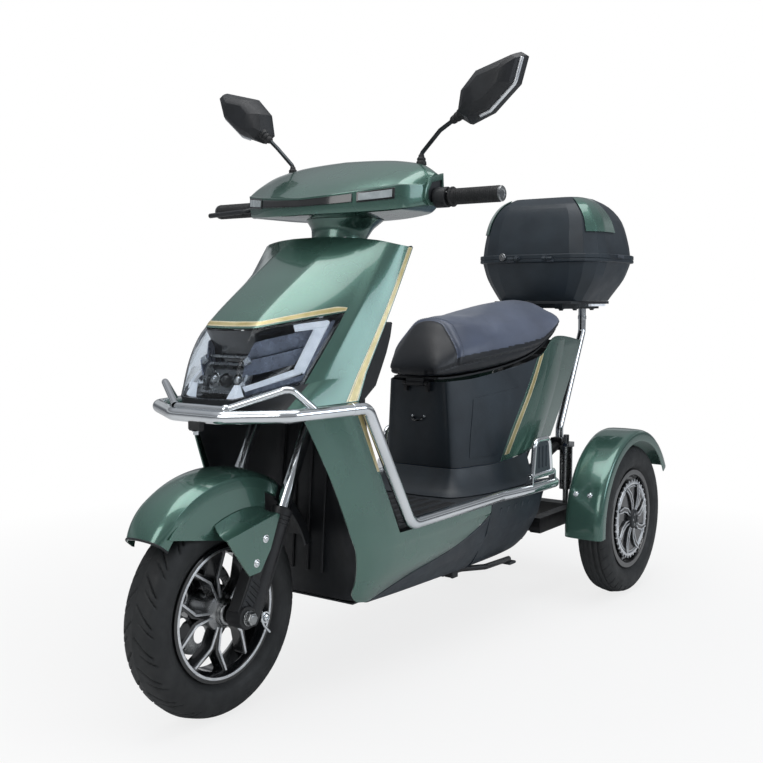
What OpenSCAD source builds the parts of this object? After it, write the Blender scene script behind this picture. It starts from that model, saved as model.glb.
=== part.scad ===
// Electric three-wheel scooter: one steered front wheel, two rear hub-motor wheels.
// The front faces -Y, +X is the rider's left and +Z is up. All sizes are millimetres.
// The origin is on the floor, in the middle of the overall length and width.

/* [Wheels] */
// Distance from the front axle to the rear axle
wheelbase = 1260; // [1200:5:1320]
// Outside radius of every tyre
tyre_r = 202; // [198:1:206]
// Width of a tyre
tyre_w = 84; // [78:1:88]
// Distance between the middles of the two rear tyres
rear_track = 576; // [560:2:600]
// Height of a tyre's section above the rim's flange
tyre_h = 69; // [66:1:72]

/* [Steering] */
// Lean of the steering axis from upright
rake = 27; // [26:0.5:28]
// How far the steering axis passes behind the front axle at hub height
axle_lead = 25; // [20:1:30]
// Distance from the middle plane to each fork leg
fork_half = 70; // [68:1:76]
// Radius of a chrome fork tube
fork_tube_r = 13.5; // [12:0.5:15]
// Half the width over the handlebar grips
bar_half = 386; // [370:2:396]
// Radius of the handlebar tube
bar_r = 11; // [10:0.5:12.5]
// Outside radius of a handlebar grip
grip_r = 16.5; // [15:0.5:19]
// Length of a handlebar grip
grip_len = 118; // [100:2:130]

/* [Body] */
// Thickness of the moulded body panels
panel_t = 3; // [2:0.5:4]
// Height of the floor board's top
floor_z = 326; // [320:1:330]
// Half the width of the floor board
floor_half = 186; // [176:1:188]
// Radius of the chrome guard tube
guard_r = 12.5; // [11:0.5:13.5]

/* [Rear box] */
// Distance from the rear axle to the back of the luggage box
tail_overhang = 342; // [320:2:380]
// Length of the luggage box over its rim
box_len = 322; // [300:2:340]
// Half the width of the luggage box over its rim
box_half = 203; // [190:1:210]
// Height of the rim where the lid meets the tub
box_rim_z = 908; // [904:1:914]

/* [Hidden] */
$fn = 48;
// Gap left between neighbouring pieces
fit = 0.3;
// Places of the axles along the scooter
front_axle_y = (tyre_r - wheelbase - tail_overhang) / 2;
rear_axle_y = front_axle_y + wheelbase;
half_track = rear_track / 2;
// Radius of a rim's flange
rim_r = tyre_r - tyre_h;
// Tubes and spindles
head_tube_r = 25;
stem_r = 17;
axle_r = 8;
spindle_r = 14;
frame_r = 14;

// Helpers for points, smooth curves and grids
function mix(a, b, t) = a + (b - a) * t;
function unit(v) = v / norm(v);
function curve_point(a, b, c, d, t) =
  0.5 * (2 * b + (c - a) * t + (2 * a - 5 * b + 4 * c - d) * t * t + (3 * b - a - 3 * c + d) * t * t * t);
// A smooth open curve through the points p, with n steps between neighbours
function smooth(p, n) = concat(
  [for (i = [0 : len(p) - 2]) for (k = [0 : n - 1])
    curve_point(p[max(i - 1, 0)], p[i], p[i + 1], p[min(i + 2, len(p) - 1)], k / n)],
  [p[len(p) - 1]]);
function transpose(g) = [for (j = [0 : len(g[0]) - 1]) [for (i = [0 : len(g) - 1]) g[i][j]]];
// A grid of points refined to n_row steps along its rows and n_col steps along its columns
function smooth_grid(g, n_row, n_col) =
  transpose([for (c = transpose([for (r = g) smooth(r, n_row)])) smooth(c, n_col)]);
function flip_x(p) = [-p.x, p.y, p.z];
function flip_row(row) = [for (p = row) flip_x(p)];
function reverse(l) = [for (i = [len(l) - 1 : -1 : 0]) l[i]];
// A row given from the middle out to +X, completed to run from +X to -X
function both_sides(half) = concat(reverse(half), [for (i = [1 : len(half) - 1]) flip_x(half[i])]);
function grid_normal(g, i, j) = unit(cross(
  g[min(i + 1, len(g) - 1)][j] - g[max(i - 1, 0)][j],
  g[i][min(j + 1, len(g[0]) - 1)] - g[i][max(j - 1, 0)]));
function flat(lists) = [for (l = lists) for (x = l) x];

// A moulded panel: the grid g is its outer face and t its thickness, towards the grid's normal.
// keep says which cells of the grid the panel has.
module panel(g, t, keep = function(i, j) true) {
  rows = len(g);
  cols = len(g[0]);
  count = rows * cols;
  inner = [for (i = [0 : rows - 1]) for (j = [0 : cols - 1]) g[i][j] + abs(t) * sign(t) * grid_normal(g, i,
    j)];
  function here(i, j) = i >= 0 && j >= 0 && i < rows - 1 && j < cols - 1 && keep(i, j);
  function p(i, j) = i * cols + j;
  function q(i, j) = count + i * cols + j;
  faces = flat([for (i = [0 : rows - 2]) for (j = [0 : cols - 2]) if (here(i, j)) concat(
    [[p(i, j), p(i + 1, j), p(i + 1, j + 1)], [p(i, j), p(i + 1, j + 1), p(i, j + 1)],
     [q(i, j), q(i + 1, j + 1), q(i + 1, j)], [q(i, j), q(i, j + 1), q(i + 1, j + 1)]],
    here(i - 1, j) ? [] : [[p(i, j), p(i, j + 1), q(i, j + 1)], [p(i, j), q(i, j + 1), q(i, j)]],
    here(i + 1, j) ? [] : [[p(i + 1, j), q(i + 1, j + 1), p(i + 1, j + 1)],
      [p(i + 1, j), q(i + 1, j), q(i + 1, j + 1)]],
    here(i, j - 1) ? [] : [[p(i, j), q(i, j), q(i + 1, j)], [p(i, j), q(i + 1, j), p(i + 1, j)]],
    here(i, j + 1) ? [] : [[p(i, j + 1), p(i + 1, j + 1), q(i + 1, j + 1)],
      [p(i, j + 1), q(i + 1, j + 1), q(i, j + 1)]])]);
  polyhedron(concat(flat(g), inner), t > 0 ? faces : [for (f = faces) reverse(f)]);
}

// A closed form through rings of points, each ring counter-clockwise seen from the next one
module loft(rings) {
  n = len(rings[0]);
  last = len(rings) - 1;
  sides = flat([for (i = [0 : last - 1]) for (j = [0 : n - 1]) let (k = (j + 1) % n) [
    [i * n + j, (i + 1) * n + j, (i + 1) * n + k], [i * n + j, (i + 1) * n + k, i * n + k]]]);
  polyhedron(flat(rings), concat(sides, [[for (j = [0 : n - 1]) j]],
    [[for (j = [n - 1 : -1 : 0]) last * n + j]]));
}

// A round bar from a to b
module rod(a, b, r) {
  d = b - a;
  translate(a) rotate([0, acos(d.z / norm(d)), atan2(d.y, d.x)]) cylinder(r = r, h = norm(d));
}

// Points with directions along a path whose corners are rounded to the radius bend
function bent(path, bend) = let (last = len(path) - 1,
  dir = [for (i = [0 : last - 1]) unit(path[i + 1] - path[i])])
  concat([[path[0], dir[0]]],
    flat([for (i = [1 : 1 : last - 1]) let (y = dir[i - 1], turn = acos(min(1, y * dir[i])),
      n = max(2, round(turn / 16)),
      x = unit(dir[i] - (dir[i] * y) * y), c = path[i] - y * bend * tan(turn / 2) + x * bend)
      [for (k = [0 : n]) let (a = turn * k / n) [c - x * bend * cos(a) + y * bend * sin(a),
        y * cos(a) + x * sin(a)]]]),
    [[path[last], dir[last - 1]]]);
// One side direction for each point of a path, carried along without twist
function carry(pts, u, i = 0) = i == len(pts) ? [] :
  let (t = pts[i][1], w = unit(u - (u * t) * t)) concat([w], carry(pts, w, i + 1));
// A bent tube through the points of path
tube_sides = 12;
module pipe(path, r, bend) {
  pts = bent(path, bend);
  t0 = pts[0][1];
  side = carry(pts, abs(t0.z) < 0.8 ? [0, 0, 1] : [1, 0, 0]);
  loft([for (i = [0 : len(pts) - 1]) let (v = cross(pts[i][1], side[i])) [for (k = [0 : tube_sides - 1])
    pts[i][0] + r * (cos(k * 360 / tube_sides) * side[i] + sin(k * 360 / tube_sides) * v)]]);
}

// Frames of reference
module at_front() { translate([0, front_axle_y, 0]) children(); }
module at_rear() { translate([0, rear_axle_y, 0]) children(); }
// The steering axis as +Z, with its origin at hub height
module steered() { at_front() translate([0, axle_lead, tyre_r]) rotate([-rake, 0, 0]) children(); }
module on_side(side) { if (side > 0) children(); else mirror([1, 0, 0]) children(); }
module wheel_axis() { rotate([0, 90, 0]) children(); }
// Distance along the steering axis to the height z
function along(z) = (z - tyre_r) / cos(rake);
function axis_y(z) = axle_lead + tan(rake) * (z - tyre_r);
function front(row) = [for (p = row) p + [0, front_axle_y, 0]];
function rear(row) = [for (p = row) p + [0, rear_axle_y, 0]];

// Front body surface, from the middle out to the trailing edge, measured from the front axle.
// Rows from the bottom edge up: below the lamp, lamp bottom, lamp top, top edge
front_rows = [
  [[0, -8, 578], [66, -4, 579], [100, 18, 583], [132, 52, 588], [150, 77, 590], [177, 150, 594],
    [192, 206, 596]],
  [[0, -14, 606], [66, -10, 608], [106, 40, 621], [140, 108, 634], [157, 142, 641], [177, 190, 646],
    [190, 234, 650]],
  [[0, 47, 738], [68, 51, 739], [112, 138, 755], [152, 219, 768], [167, 241, 773], [182, 288, 782],
    [190, 328, 790]],
  [[0, 306, 922], [58, 309, 921], [106, 318, 918], [148, 332, 913], [165, 342, 909], [180, 364, 904],
    [187, 400, 900]]
];
cowl_steps = 2;
cowl_grid = smooth_grid([for (r = front_rows) both_sides(front(r))], cowl_steps, 4);
// The lamp fills the middle six columns of control points between its bottom and top rows
function in_lamp(i, j) = i >= 4 && i < 8 && j >= 3 * cowl_steps && j < 9 * cowl_steps;

module front_cowl() {
  color("DarkSeaGreen") panel(cowl_grid, -panel_t, function(i, j) !in_lamp(i, j));
}

module headlamp() {
  color("DimGray") panel(cowl_grid, -panel_t, function(i, j) in_lamp(i, j));
}

// Side of the leg shield: rows from the top down, columns from the front edge back.
// The upper rows stop at the guard rail; the lower rows run back under the floor board's edge.
shield_rows = [
  [[150, 77, 588.6], [165, 112, 590.2], [180, 160, 592.8], [192, 206, 594.8], [192, 470, 595],
    [192, 600, 595], [192, 716, 595]],
  [[172, 143, 450], [184, 182, 450], [193, 226, 451], [197, 268, 452], [199, 470, 452], [199, 600, 452],
    [197, 722, 452]],
  [[179, 197, 330], [190, 240, 326], [196, 288, 320], [199, 336, 316], [200, 470, 316], [200, 600, 316],
    [198, 716, 316]],
  [[179, 214, 292], [189, 255, 288], [194, 300, 284], [196, 348, 282], [197, 465, 282], [196, 585, 283],
    [194, 700, 284]],
  [[168, 228, 240], [178, 256, 238], [184, 290, 236], [187, 330, 236], [188, 410, 236], [187, 495, 238],
    [184, 580, 240]],
  [[153, 233, 200], [160, 252, 198], [164, 272, 197], [166, 296, 197], [166, 330, 198], [165, 368, 200],
    [164, 404, 203]],
  [[149, 256, 180], [151, 264, 179], [153, 272, 178], [154, 280, 177], [154, 288, 177], [153, 296, 177],
    [152, 304, 178]]
];
shield_grid = smooth_grid([for (r = shield_rows) front(r)], 2, 3);
function in_shield(i, j) = i >= 6 || j < 6;

module leg_shield(side) {
  on_side(side) panel(shield_grid, -panel_t, function(i, j) in_shield(i, j));
}
module leg_shield_left() { color("DarkSeaGreen") leg_shield(1); }
module leg_shield_right() { color("DarkSeaGreen") leg_shield(-1); }

// Rider's side of the leg shield: height, middle depth, edge half-width and edge depth
inner_rows = [[902, 474, 183.4, 403], [790, 430, 185, 335], [650, 382, 185, 242], [600, 366, 186, 214],
  [450, 356, 190, 276], [342, 352, 192, 338], [floor_z + fit, 352, 184, 346]];
function inner_row(r) = both_sides(front([[0, r[1], r[0]], [70, r[1] - 2, r[0]],
  [120, mix(r[3], r[1], 0.72), r[0]],
  [r[2] - 12, mix(r[3], r[1], 0.12), r[0]], [r[2], r[3], r[0]]]));

module inner_shield() {
  color("DimGray") panel(smooth_grid([for (r = inner_rows) inner_row(r)], 2, 2), -panel_t);
}

// Wheel arch behind the front wheel: height, middle depth, edge half-width and edge depth
liner_rows = [[566, 286, 150.9, 97], [450, 272, 167.4, 158], [330, 262, 174, 206], [240, 256, 163, 238],
  [180, 254, 145, 262]];
function liner_row(r) = both_sides(front([[0, r[1], r[0]], [90, r[1], r[0]],
  [r[2] - 16, mix(r[1], r[3], 0.6), r[0]],
  [r[2], r[3], r[0]]]));

module wheel_liner() {
  color("Black") panel(smooth_grid([for (r = liner_rows) liner_row(r)], 3, 3), panel_t);
}

// Floor board with its ribs
floor_front = front_axle_y + 352;
floor_back = rear_axle_y - 275;
floor_t = 8;
rise_front = rear_axle_y - 610;
rib_count = 9;
rib_pitch = 36;

module floor_board() {
  color("Black") {
    translate([-floor_half, floor_front, floor_z - floor_t])
      cube([2 * floor_half, floor_back - floor_front, floor_t]);
    for (i = [0 : rib_count - 1]) translate([(i - (rib_count - 1) / 2) * rib_pitch - 9, floor_front + 20,
      floor_z - 1])
      cube([18, rise_front - floor_front - 40, 4]);
  }
}

// Lower side skirt: along the scooter, its top edge, its bottom edge and its top half-width
skirt_rows = [[304, 178, 166, 152], [404, 203, 160, 164], [580, 240, 156, 184], [709, 282, 154, 193],
  [731, 315, 154, 198], [860, 315, 154, 199], [wheelbase - 320, 315, 158, 199],
    [wheelbase - 275, 315, 168, 198]];
function skirt_row(r) = front([[r[3], r[0] + 0.5, r[1] - 1],
  [mix(r[3], 140, 0.3), r[0], mix(r[1], r[2], 0.45)],
  [mix(r[3], 136, 0.8), r[0], mix(r[1], r[2], 0.85)], [130, r[0], r[2]]]);

module side_skirt(side) {
  on_side(side) panel(smooth_grid([for (r = skirt_rows) skirt_row(r)], 2, 2), panel_t);
}
module side_skirt_left() { color("Black") side_skirt(1); }
module side_skirt_right() { color("Black") side_skirt(-1); }

module belly_pan() {
  color("Black") at_front() {
    rod(stand_pivot - [16, 0, 0], stand_pivot + [16, 0, 0], stand_pin_r);
    for (x = [-16, 10.5]) translate(stand_pivot + [x, -12, -10]) cube([5.5, 24, 170 - stand_pivot.z + 10]);
  }
  color("Black") translate([-127, front_axle_y + 270, 168]) cube([254, wheelbase - 265 - 260, 4]);
}

// Rear body surface, from the middle of the seat box's front round to the tail's back edge,
// measured from the rear axle; rows from the bottom up
body_rows = [
  [[0, -556, 390], [72, -556, 390], [98, -548, 390], [118, -490, 390], [139, -399, 391], [146, -260, 404],
    [132, -110, 425]],
  [[0, -557, 460], [70, -557, 460], [96, -548, 460], [120, -480, 466], [143, -345, 472], [149, -210, 486],
    [130, -38, 510]],
  [[0, -558, 530], [66, -558, 530], [92, -548, 532], [120, -460, 542], [145, -275, 560], [147, -150, 586],
    [124, 40, 600]],
  [[0, -558, 596], [62, -558, 596], [88, -548, 598], [116, -445, 606], [141, -207, 642], [139, -100, 694],
    [112, 120, 676]]
];
body_steps = 2;
body_grid = smooth_grid([for (r = body_rows) both_sides(rear(r))], body_steps, 3);
stripe_col = 2 * body_steps;
last_col = 12 * body_steps;

// Plinth from the floor board up to the lower edge of the seat box
plinth_foot = [[0, -610], [76, -608], [124, -590], [156, -510], [170, -399], [174, -275]];
plinth_rim = [[0, -556, 389], [72, -556, 389], [98, -548, 389], [118, -490, 389], [139, -399, 390],
  [146, -275, 401]];
function plinth_row(t) = both_sides(rear([for (i = [0 : len(plinth_rim) - 1])
  mix([plinth_foot[i].x, plinth_foot[i].y, floor_z + 0.9 * panel_t], plinth_rim[i], t) - [0, 0,
    4 * t * (1 - t) * 9]]));
module seat_plinth() {
  color("Black") panel(smooth_grid([for (t = [0, 0.35, 0.7, 1]) plinth_row(t)], body_steps, 1), -panel_t);
}

module seat_box() {
  color("DimGray") panel(body_grid, -panel_t, function(i, j) j >= stripe_col && j < last_col - stripe_col);
}
module tail_panel_left() { color("DarkSeaGreen") panel(body_grid, -panel_t,
  function(i, j) j < stripe_col); }
module tail_panel_right() {
  color("DarkSeaGreen") panel(body_grid, -panel_t, function(i, j) j >= last_col - stripe_col);
}

// Back of the tail between the two side panels
tail_edge = [for (i = [0 : len(body_grid) - 1]) body_grid[i][0]];
module tail_cover() {
  color("Black") panel([for (p = tail_edge) [for (k = [-1 : 0.5 : 1]) [k * (p.x - panel_t - fit), p.y - 2,
    p.z]]], panel_t);
}

module tail_lamp() {
  color("Red") at_rear() translate([0, 67, 628]) rotate([46, 0, 0])
    translate([-70, -18, -16 - panel_t - 1]) cube([140, 36, 16]);
}

battery_size = [190, 280, 180];
module battery_pack() {
  color("RoyalBlue") at_rear() translate([-battery_size.x / 2, -530, floor_z + fit]) cube(battery_size);
}

// Tubular frame: head tube, down tube, two floor rails running up to the tail
rail_x = 85;
rail_z = floor_z - floor_t - fit - frame_r;
head_low = along(660);
head_high = along(872);
lug = 2 * frame_r + 6;
module lug_at(p) { translate(p - [lug, lug, lug] / 2) cube(lug); }
module frame() {
  color("Black") {
    difference() {
      union() {
        steered() translate([0, 0, head_low]) cylinder(r = head_tube_r, h = head_high - head_low);
        at_front() rod([0, axis_y(760), 760], [0, 322, 660], 16);
        at_front() rod([0, 322, 660], [0, 322, rail_z], 15.5);
        at_front() lug_at([0, 322, 660]);
      }
      steered() cylinder(r = stem_r + fit, h = head_high + 10);
    }
    at_front() translate([-rail_x - lug / 2, 322 - lug / 2, rail_z - frame_r])
      cube([2 * rail_x + lug, lug, 2 * frame_r - 2]);
    for (x = [-rail_x, rail_x]) {
      translate([x, 0, 0]) {
        rod([0, front_axle_y + 322, rail_z], [0, rear_axle_y - 240, rail_z], frame_r);
        at_rear() translate([-lug / 2, -240 - lug / 2, rail_z - lug + frame_r - 2]) cube([lug, lug, lug]);
        at_rear() rod([0, -240, rail_z - 3], [0, 46, 646], frame_r - 1);
        at_rear() lug_at([0, 46, 646]);
        at_rear() rod([0, -240, rail_z - 3], [0, 36, 384], frame_r - 2);
        at_rear() lug_at([0, 36, 384]);
      }
    }
    at_rear() translate([-rail_x, -240 - 10, rail_z - 14]) cube([2 * rail_x, 20, 20]);
    at_rear() translate([-rail_x, 46 - 10, 646 - 10]) cube([2 * rail_x, 20, 20]);
    at_rear() translate([-rail_x, 36 - 10, 384 - 10]) cube([2 * rail_x, 20, 20]);
  }
}

// Rear axle beam on two trailing arms, with a stub for each wheel
beam_half = half_track - tyre_w / 2 - 18;
module rear_axle() {
  color("Black") at_rear() {
    translate([-beam_half, -22, tyre_r - 22]) cube([2 * beam_half, 44, 44]);
    wheel_axis_at(tyre_r) translate([0, 0, -half_track - 30]) cylinder(r = spindle_r, h = rear_track + 60);
    for (x = [-150, 150]) translate([x - 15, -230, tyre_r - 20]) cube([30, 230, 40]);
    rod([-165, -215, tyre_r], [165, -215, tyre_r], 20);
    for (x = [-rail_x, rail_x]) translate([x - 12, -255, tyre_r - 10])
      cube([24, 40, rail_z - lug + frame_r - 2 - tyre_r + 10 - fit]);
  }
}
module wheel_axis_at(z) { translate([0, 0, z]) wheel_axis() children(); }

// Spring and damper units from the axle beam up to the frame
shock_x = 122;
module rear_shocks() {
  color("Silver") at_rear() for (x = [-shock_x, shock_x]) translate([x, 8, 0]) {
    translate([0, 0, tyre_r + 22 + fit]) cylinder(r = 8, h = 190);
    translate([0, 0, tyre_r + 60]) cylinder(r = 18, h = 120);
    translate([x > 0 ? -shock_x + rail_x + lug / 2 + fit : -7, 18, 377])
      cube([shock_x - rail_x - lug / 2 + 7 - fit, 20, 14]);
    translate([-7, -8, 377]) cube([14, 36, 14]);
  }
}

// Chrome guard: a hoop round the nose with a raised brow, and a rail down and along each side
rail_top = [202, 178, 583.5];
guard_side = [174, 24, 582];
guard_front = [60, -40, 578];
guard_path = concat([for (p = [rail_top, guard_side, guard_front]) flip_x(p)],
  [guard_front, guard_side, rail_top]);
brow_half = [[64, -30, 592], [165, 35, 632], [185, 84, 588]];
brow_path = concat(reverse(flip_row(brow_half)), brow_half);
module guard_bar() {
  color("Silver") at_front() {
    pipe(guard_path, guard_r, 40);
    pipe(brow_path, 7, 22);
  }
}
rail_dir = unit(rail_top - guard_side);
guard_z = floor_z + 4;
step_x = 224;
rail_end = wheelbase - 240;
module guard_rail(side) {
  at_front() on_side(side) {
    pipe([rail_top + rail_dir * fit, rail_top + rail_dir * 34, [208, 362, guard_z],
      [208, step_front - 122, guard_z],
      [step_x, step_front - 2, guard_z], [step_x, rail_end, guard_z],
      [rail_x + lug / 2 + 3.5, rail_end, rail_z - 3]], guard_r, 40);
    for (y = [step_front - 8, step_back + 2]) difference() {
      translate([step_x - 9, y, guard_z]) cube([18, 6, step_z - guard_z + 9]);
      translate([step_x, y - 1, step_z]) rotate([-90, 0, 0]) cylinder(r = 4.5, h = 8);
    }
  }
}
module guard_rail_left() { color("Silver") guard_rail(1); }
module guard_rail_right() { color("Silver") guard_rail(-1); }

// Carrier behind the seat that holds the luggage box
rack_z = 782;
rack_x = rail_x;
rack_bar = 16;
module rear_rack() {
  color("Silver") at_rear() {
    for (x = [-rack_x, rack_x]) {
      pipe([[x, 40, 384 + lug / 2 + fit], [x, 40, 430], [x, 180, 700], [x, 180, rack_z - 4]], 11, 30);
      translate([x - 12, -10, rack_z - rack_bar]) cube([24, 280, rack_bar]);
    }
    for (y = [-2, 122, 246]) translate([-rack_x, y, rack_z - rack_bar + 2])
      cube([2 * rack_x, 16, rack_bar - 2]);
    translate([-130, -4, rack_z - 2]) cube([260, 290, 8]);
  }
}

// Rear mudguards
// Gap from a rear tyre to the outside of its mudguard
fender_gap = 40;
fender_r = tyre_r + fender_gap;
fender_w = 104;
// Angles of its two ends, from the back over the top to the front
fender_from = 30;
fender_to = 190;
module rear_fender(side) {
  at_rear() on_side(side) {
    translate([half_track, 0, tyre_r]) rotate([fender_from, 0, 0]) rotate([90, 0, 90])
      rotate_extrude(angle = fender_to - fender_from)
      polygon([[fender_r - 22, -fender_w / 2], [fender_r - 6, -fender_w / 2],
        [fender_r, -fender_w / 2 + 16],
        [fender_r, fender_w / 2 - 16], [fender_r - 6, fender_w / 2], [fender_r - 30, fender_w / 2],
        [fender_r - 30, fender_w / 2 - 3], [fender_r - 8, fender_w / 2 - 3],
          [fender_r - 3, fender_w / 2 - 18],
        [fender_r - 3, -fender_w / 2 + 18], [fender_r - 8, -fender_w / 2 + 3],
          [fender_r - 22, -fender_w / 2 + 3]]);
    translate([half_track - fender_w / 2 + 0.5, -14, tyre_r + 23 + fit]) cube([2, 64, fender_r - 39]);
    translate([beam_half - 60, -10, tyre_r + 22 + fit])
      cube([half_track - fender_w / 2 - beam_half + 61.5, 30, 4]);
  }
}
module rear_fender_left() { color("DarkSeaGreen") rear_fender(1); }
module rear_fender_right() { color("DarkSeaGreen") rear_fender(-1); }

// Luggage box: rows of height, inset from the rim at the side, the front and the back, and corner radius
function box_ring(z, half, y0, y1, r) = [for (c = [[1, 1], [-1, 1], [-1, -1],
  [1, -1]]) for (a = [0 : 30 : 90])
  let (turn = c == [1, 1] ? 0 : c == [-1, 1] ? 90 : c == [-1, -1] ? 180 : 270)
  [c.x * (half - r) + r * cos(a + turn), (c.y > 0 ? y1 - r : y0 + r) + r * sin(a + turn) + rear_axle_y, z]];
box_y0 = tail_overhang - box_len;
box_y1 = tail_overhang;
tub_rows = [[788.3, 65, 30, 60, 50], [806, 53, 24, 52, 56], [850, 25, 13, 26, 70], [890, 11, 6, 10, 78],
  [box_rim_z - 10, 9, 5, 8, 80], [box_rim_z - 9, 0, 0, 0, 84], [box_rim_z - fit, 0, 0, 0, 84]];
tub_inside = [[794, 66, 34, 62, 46], [850, 31, 19, 32, 64], [892, 17, 12, 16, 72], [920, 16, 11, 15, 74]];
lid_rows = [[box_rim_z, 0, 0, 0, 84], [box_rim_z + 12, 0, 0, 0, 84], [box_rim_z + 13, 9, 6, 8, 80],
  [960, 15, 9, 14, 76], [1020, 31, 20, 34, 66], [1062, 62, 36, 66, 54], [1084, 98, 66, 106, 40]];
lid_inside = [[box_rim_z - 10, 15, 11, 14, 74], [956, 19, 14, 18, 72], [1016, 37, 26, 40, 60],
  [1056, 66, 41, 72, 48], [1078, 101, 70, 110, 36]];
module box_form(rows) {
  loft([for (k = rows) box_ring(k[0], box_half - k[1], box_y0 + k[2], box_y1 - k[3], k[4])]);
}
// Hinge of the luggage lid: an eye of width w from x, joined to the rim between two heights
lid_hinge_y = box_y0 - 10;
module lid_ear(x, w, low, high) {
  at_rear() difference() {
    union() {
      translate([x, lid_hinge_y, box_rim_z]) wheel_axis() cylinder(r = 5, h = w);
      translate([x, lid_hinge_y, low]) cube([w, 12, high - low]);
    }
    translate([x - 1, lid_hinge_y, box_rim_z]) wheel_axis() cylinder(r = 2.5, h = w + 2);
  }
}
module luggage_tub() {
  color("Black") for (x = [-70, 52]) lid_ear(x, 18, box_rim_z - 9, box_rim_z - fit);
  color("Black") difference() {
    box_form(tub_rows);
    box_form(tub_inside);
  }
}
module luggage_lid() {
  color("Black") for (x = [-50, 38]) lid_ear(x, 12, box_rim_z, box_rim_z + 8);
  color("Black") difference() {
    box_form(lid_rows);
    box_form(lid_inside);
  }
}

// Seat: place from the rear axle, half-widths at the bottom and top, heights of the bottom, edge and middle
seat_rows = [[-588, 68, 62, 612, 634, 637], [-570, 78, 58, 608, 664, 668], [-540, 90, 48, 608, 708, 713],
  [-510, 101, 48, 610, 738, 746], [-460, 116, 78, 615, 741, 748], [-380, 132, 106, 624, 738, 749],
  [-290, 142, 116, 638, 744, 765], [-210, 146, 118, 657, 751, 780], [-130, 146, 116, 690, 756, 790],
  [-75, 140, 110, 716, 761, 794], [-52, 126, 98, 730, 764, 784]];
seat_lines = transpose([for (c = transpose(seat_rows)) smooth(c, 2)]);
function seat_half(r) = [[r[1] - 10, r[3]], [r[1], mix(r[3], r[4], 0.12)], [r[1], mix(r[3], r[4], 0.5)],
  [r[2] + 7, mix(r[3], r[4], 0.9)], [r[2] - 6, r[4]], [r[2] * 0.5, mix(r[4], r[5], 0.75)], [0, r[5]]];
function seat_ring(r) = let (h = seat_half(r), n = len(h) - 1, y = rear_axle_y + r[0])
  concat([for (i = [0 : n]) [-h[i].x, y, h[i].y]], [for (i = [n - 1 : -1 : 0]) [h[i].x, y, h[i].y]]);
module seat_cushion() {
  color("Black") loft([for (r = seat_lines) seat_ring(r)]);
}
// Seat base under the cushion, with its hinge eyes at the front
hinge_y = -570;
hinge_z = 592;
hinge_half = 25;
pin_r = 4;
module at_hinge() { at_rear() translate([0, hinge_y, hinge_z]) children(); }
module seat_pan() {
  color("DimGray") {
    loft([for (r = seat_lines) if (r[0] > -576 && r[0] < -60) let (y = rear_axle_y + r[0], w = r[1] - 14)
      [[-w, y, r[3] - 5], [-w, y, r[3] - fit], [w, y, r[3] - fit], [w, y, r[3] - 5]]]);
    at_hinge() difference() {
      union() {
        translate([-hinge_half, 0, 0]) wheel_axis() cylinder(r = 7, h = 2 * hinge_half);
        translate([-hinge_half, -5, 0]) cube([2 * hinge_half, 10, 13]);
      }
      translate([-hinge_half - 1, 0, 0]) wheel_axis() cylinder(r = pin_r + fit, h = 2 * hinge_half + 2);
    }
  }
}
// Hinge bracket on the seat box's front, with the pin the seat turns on
module seat_hinge() {
  color("DimGray") at_hinge() {
    translate([-hinge_half - 12, 0, 0]) wheel_axis() cylinder(r = pin_r, h = 2 * hinge_half + 24);
    for (x = [-hinge_half - 10, hinge_half + 2]) {
      translate([x, 0, 0]) wheel_axis() cylinder(r = 6, h = 8);
      translate([x, 0, -20]) cube([8, 10.9, 22]);
    }
  }
}

// Fork: lower clamp and steering stem
clamp_low = along(604);
clamp_h = 34;
stem_top = along(952);
module fork_stem() {
  color("Black") steered() difference() {
    union() {
      translate([0, 0, clamp_low]) cylinder(r = stem_r, h = stem_top - clamp_low);
      translate([-fork_half, -19, clamp_low]) cube([2 * fork_half, 38, clamp_h]);
      for (x = [-fork_half, fork_half]) translate([x, 0, clamp_low]) cylinder(r = 21, h = clamp_h);
    }
    for (x = [-fork_half, fork_half]) translate([x, 0, clamp_low - 1])
      cylinder(r = fork_tube_r + fit / 2, h = clamp_h + 2);
  }
}
tube_low = 60;
module fork_tubes() {
  color("Silver") steered() for (x = [-fork_half, fork_half])
    translate([x, 0, tube_low]) cylinder(r = fork_tube_r, h = clamp_low + clamp_h - 2 - tube_low);
}
// Black lower legs with the eyes that hold the axle
lower_r = 20;
lower_top = 205;
leg_web = 13;
axle_out = axle_lead * cos(rake);
axle_down = -axle_lead * sin(rake);
module fork_lowers() {
  color("Black") steered() for (x = [-fork_half, fork_half]) difference() {
    union() {
      translate([x, 0, -18]) cylinder(r = lower_r, h = lower_top + 18);
      translate([x - 20, -axle_out, axle_down]) wheel_axis() cylinder(r = 22, h = 40);
      translate([x - leg_web, 0, 0]) rotate([90, 0, 90]) linear_extrude(2 * leg_web)
        polygon([[-axle_out - 25, axle_down + 4], [-axle_out + 10, axle_down - 20], [14, -18], [19, 20],
          [19, 150],
          [-19, 185], [-44, 150], [-46, 60]]);
    }
    translate([x, 0, tube_low - fit]) cylinder(r = fork_tube_r + fit / 2, h = lower_top);
    translate([x - 30, -axle_out, axle_down]) wheel_axis() cylinder(r = axle_r + fit / 2, h = 60);
  }
}
module front_axle() {
  color("Silver") at_front() wheel_axis_at(tyre_r) {
    translate([0, 0, -fork_half - 34]) cylinder(r = axle_r, h = 2 * fork_half + 68);
    for (z = [-fork_half - 32, fork_half + 20 + fit]) translate([0, 0, z]) cylinder(r = 13, h = 12 - fit);
  }
}

// Front mudguard with the side plates that bolt to the fork legs
guard_c = [8, tyre_r + 18];
guard_arc_r = 256;
guard_half = 54;
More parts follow.
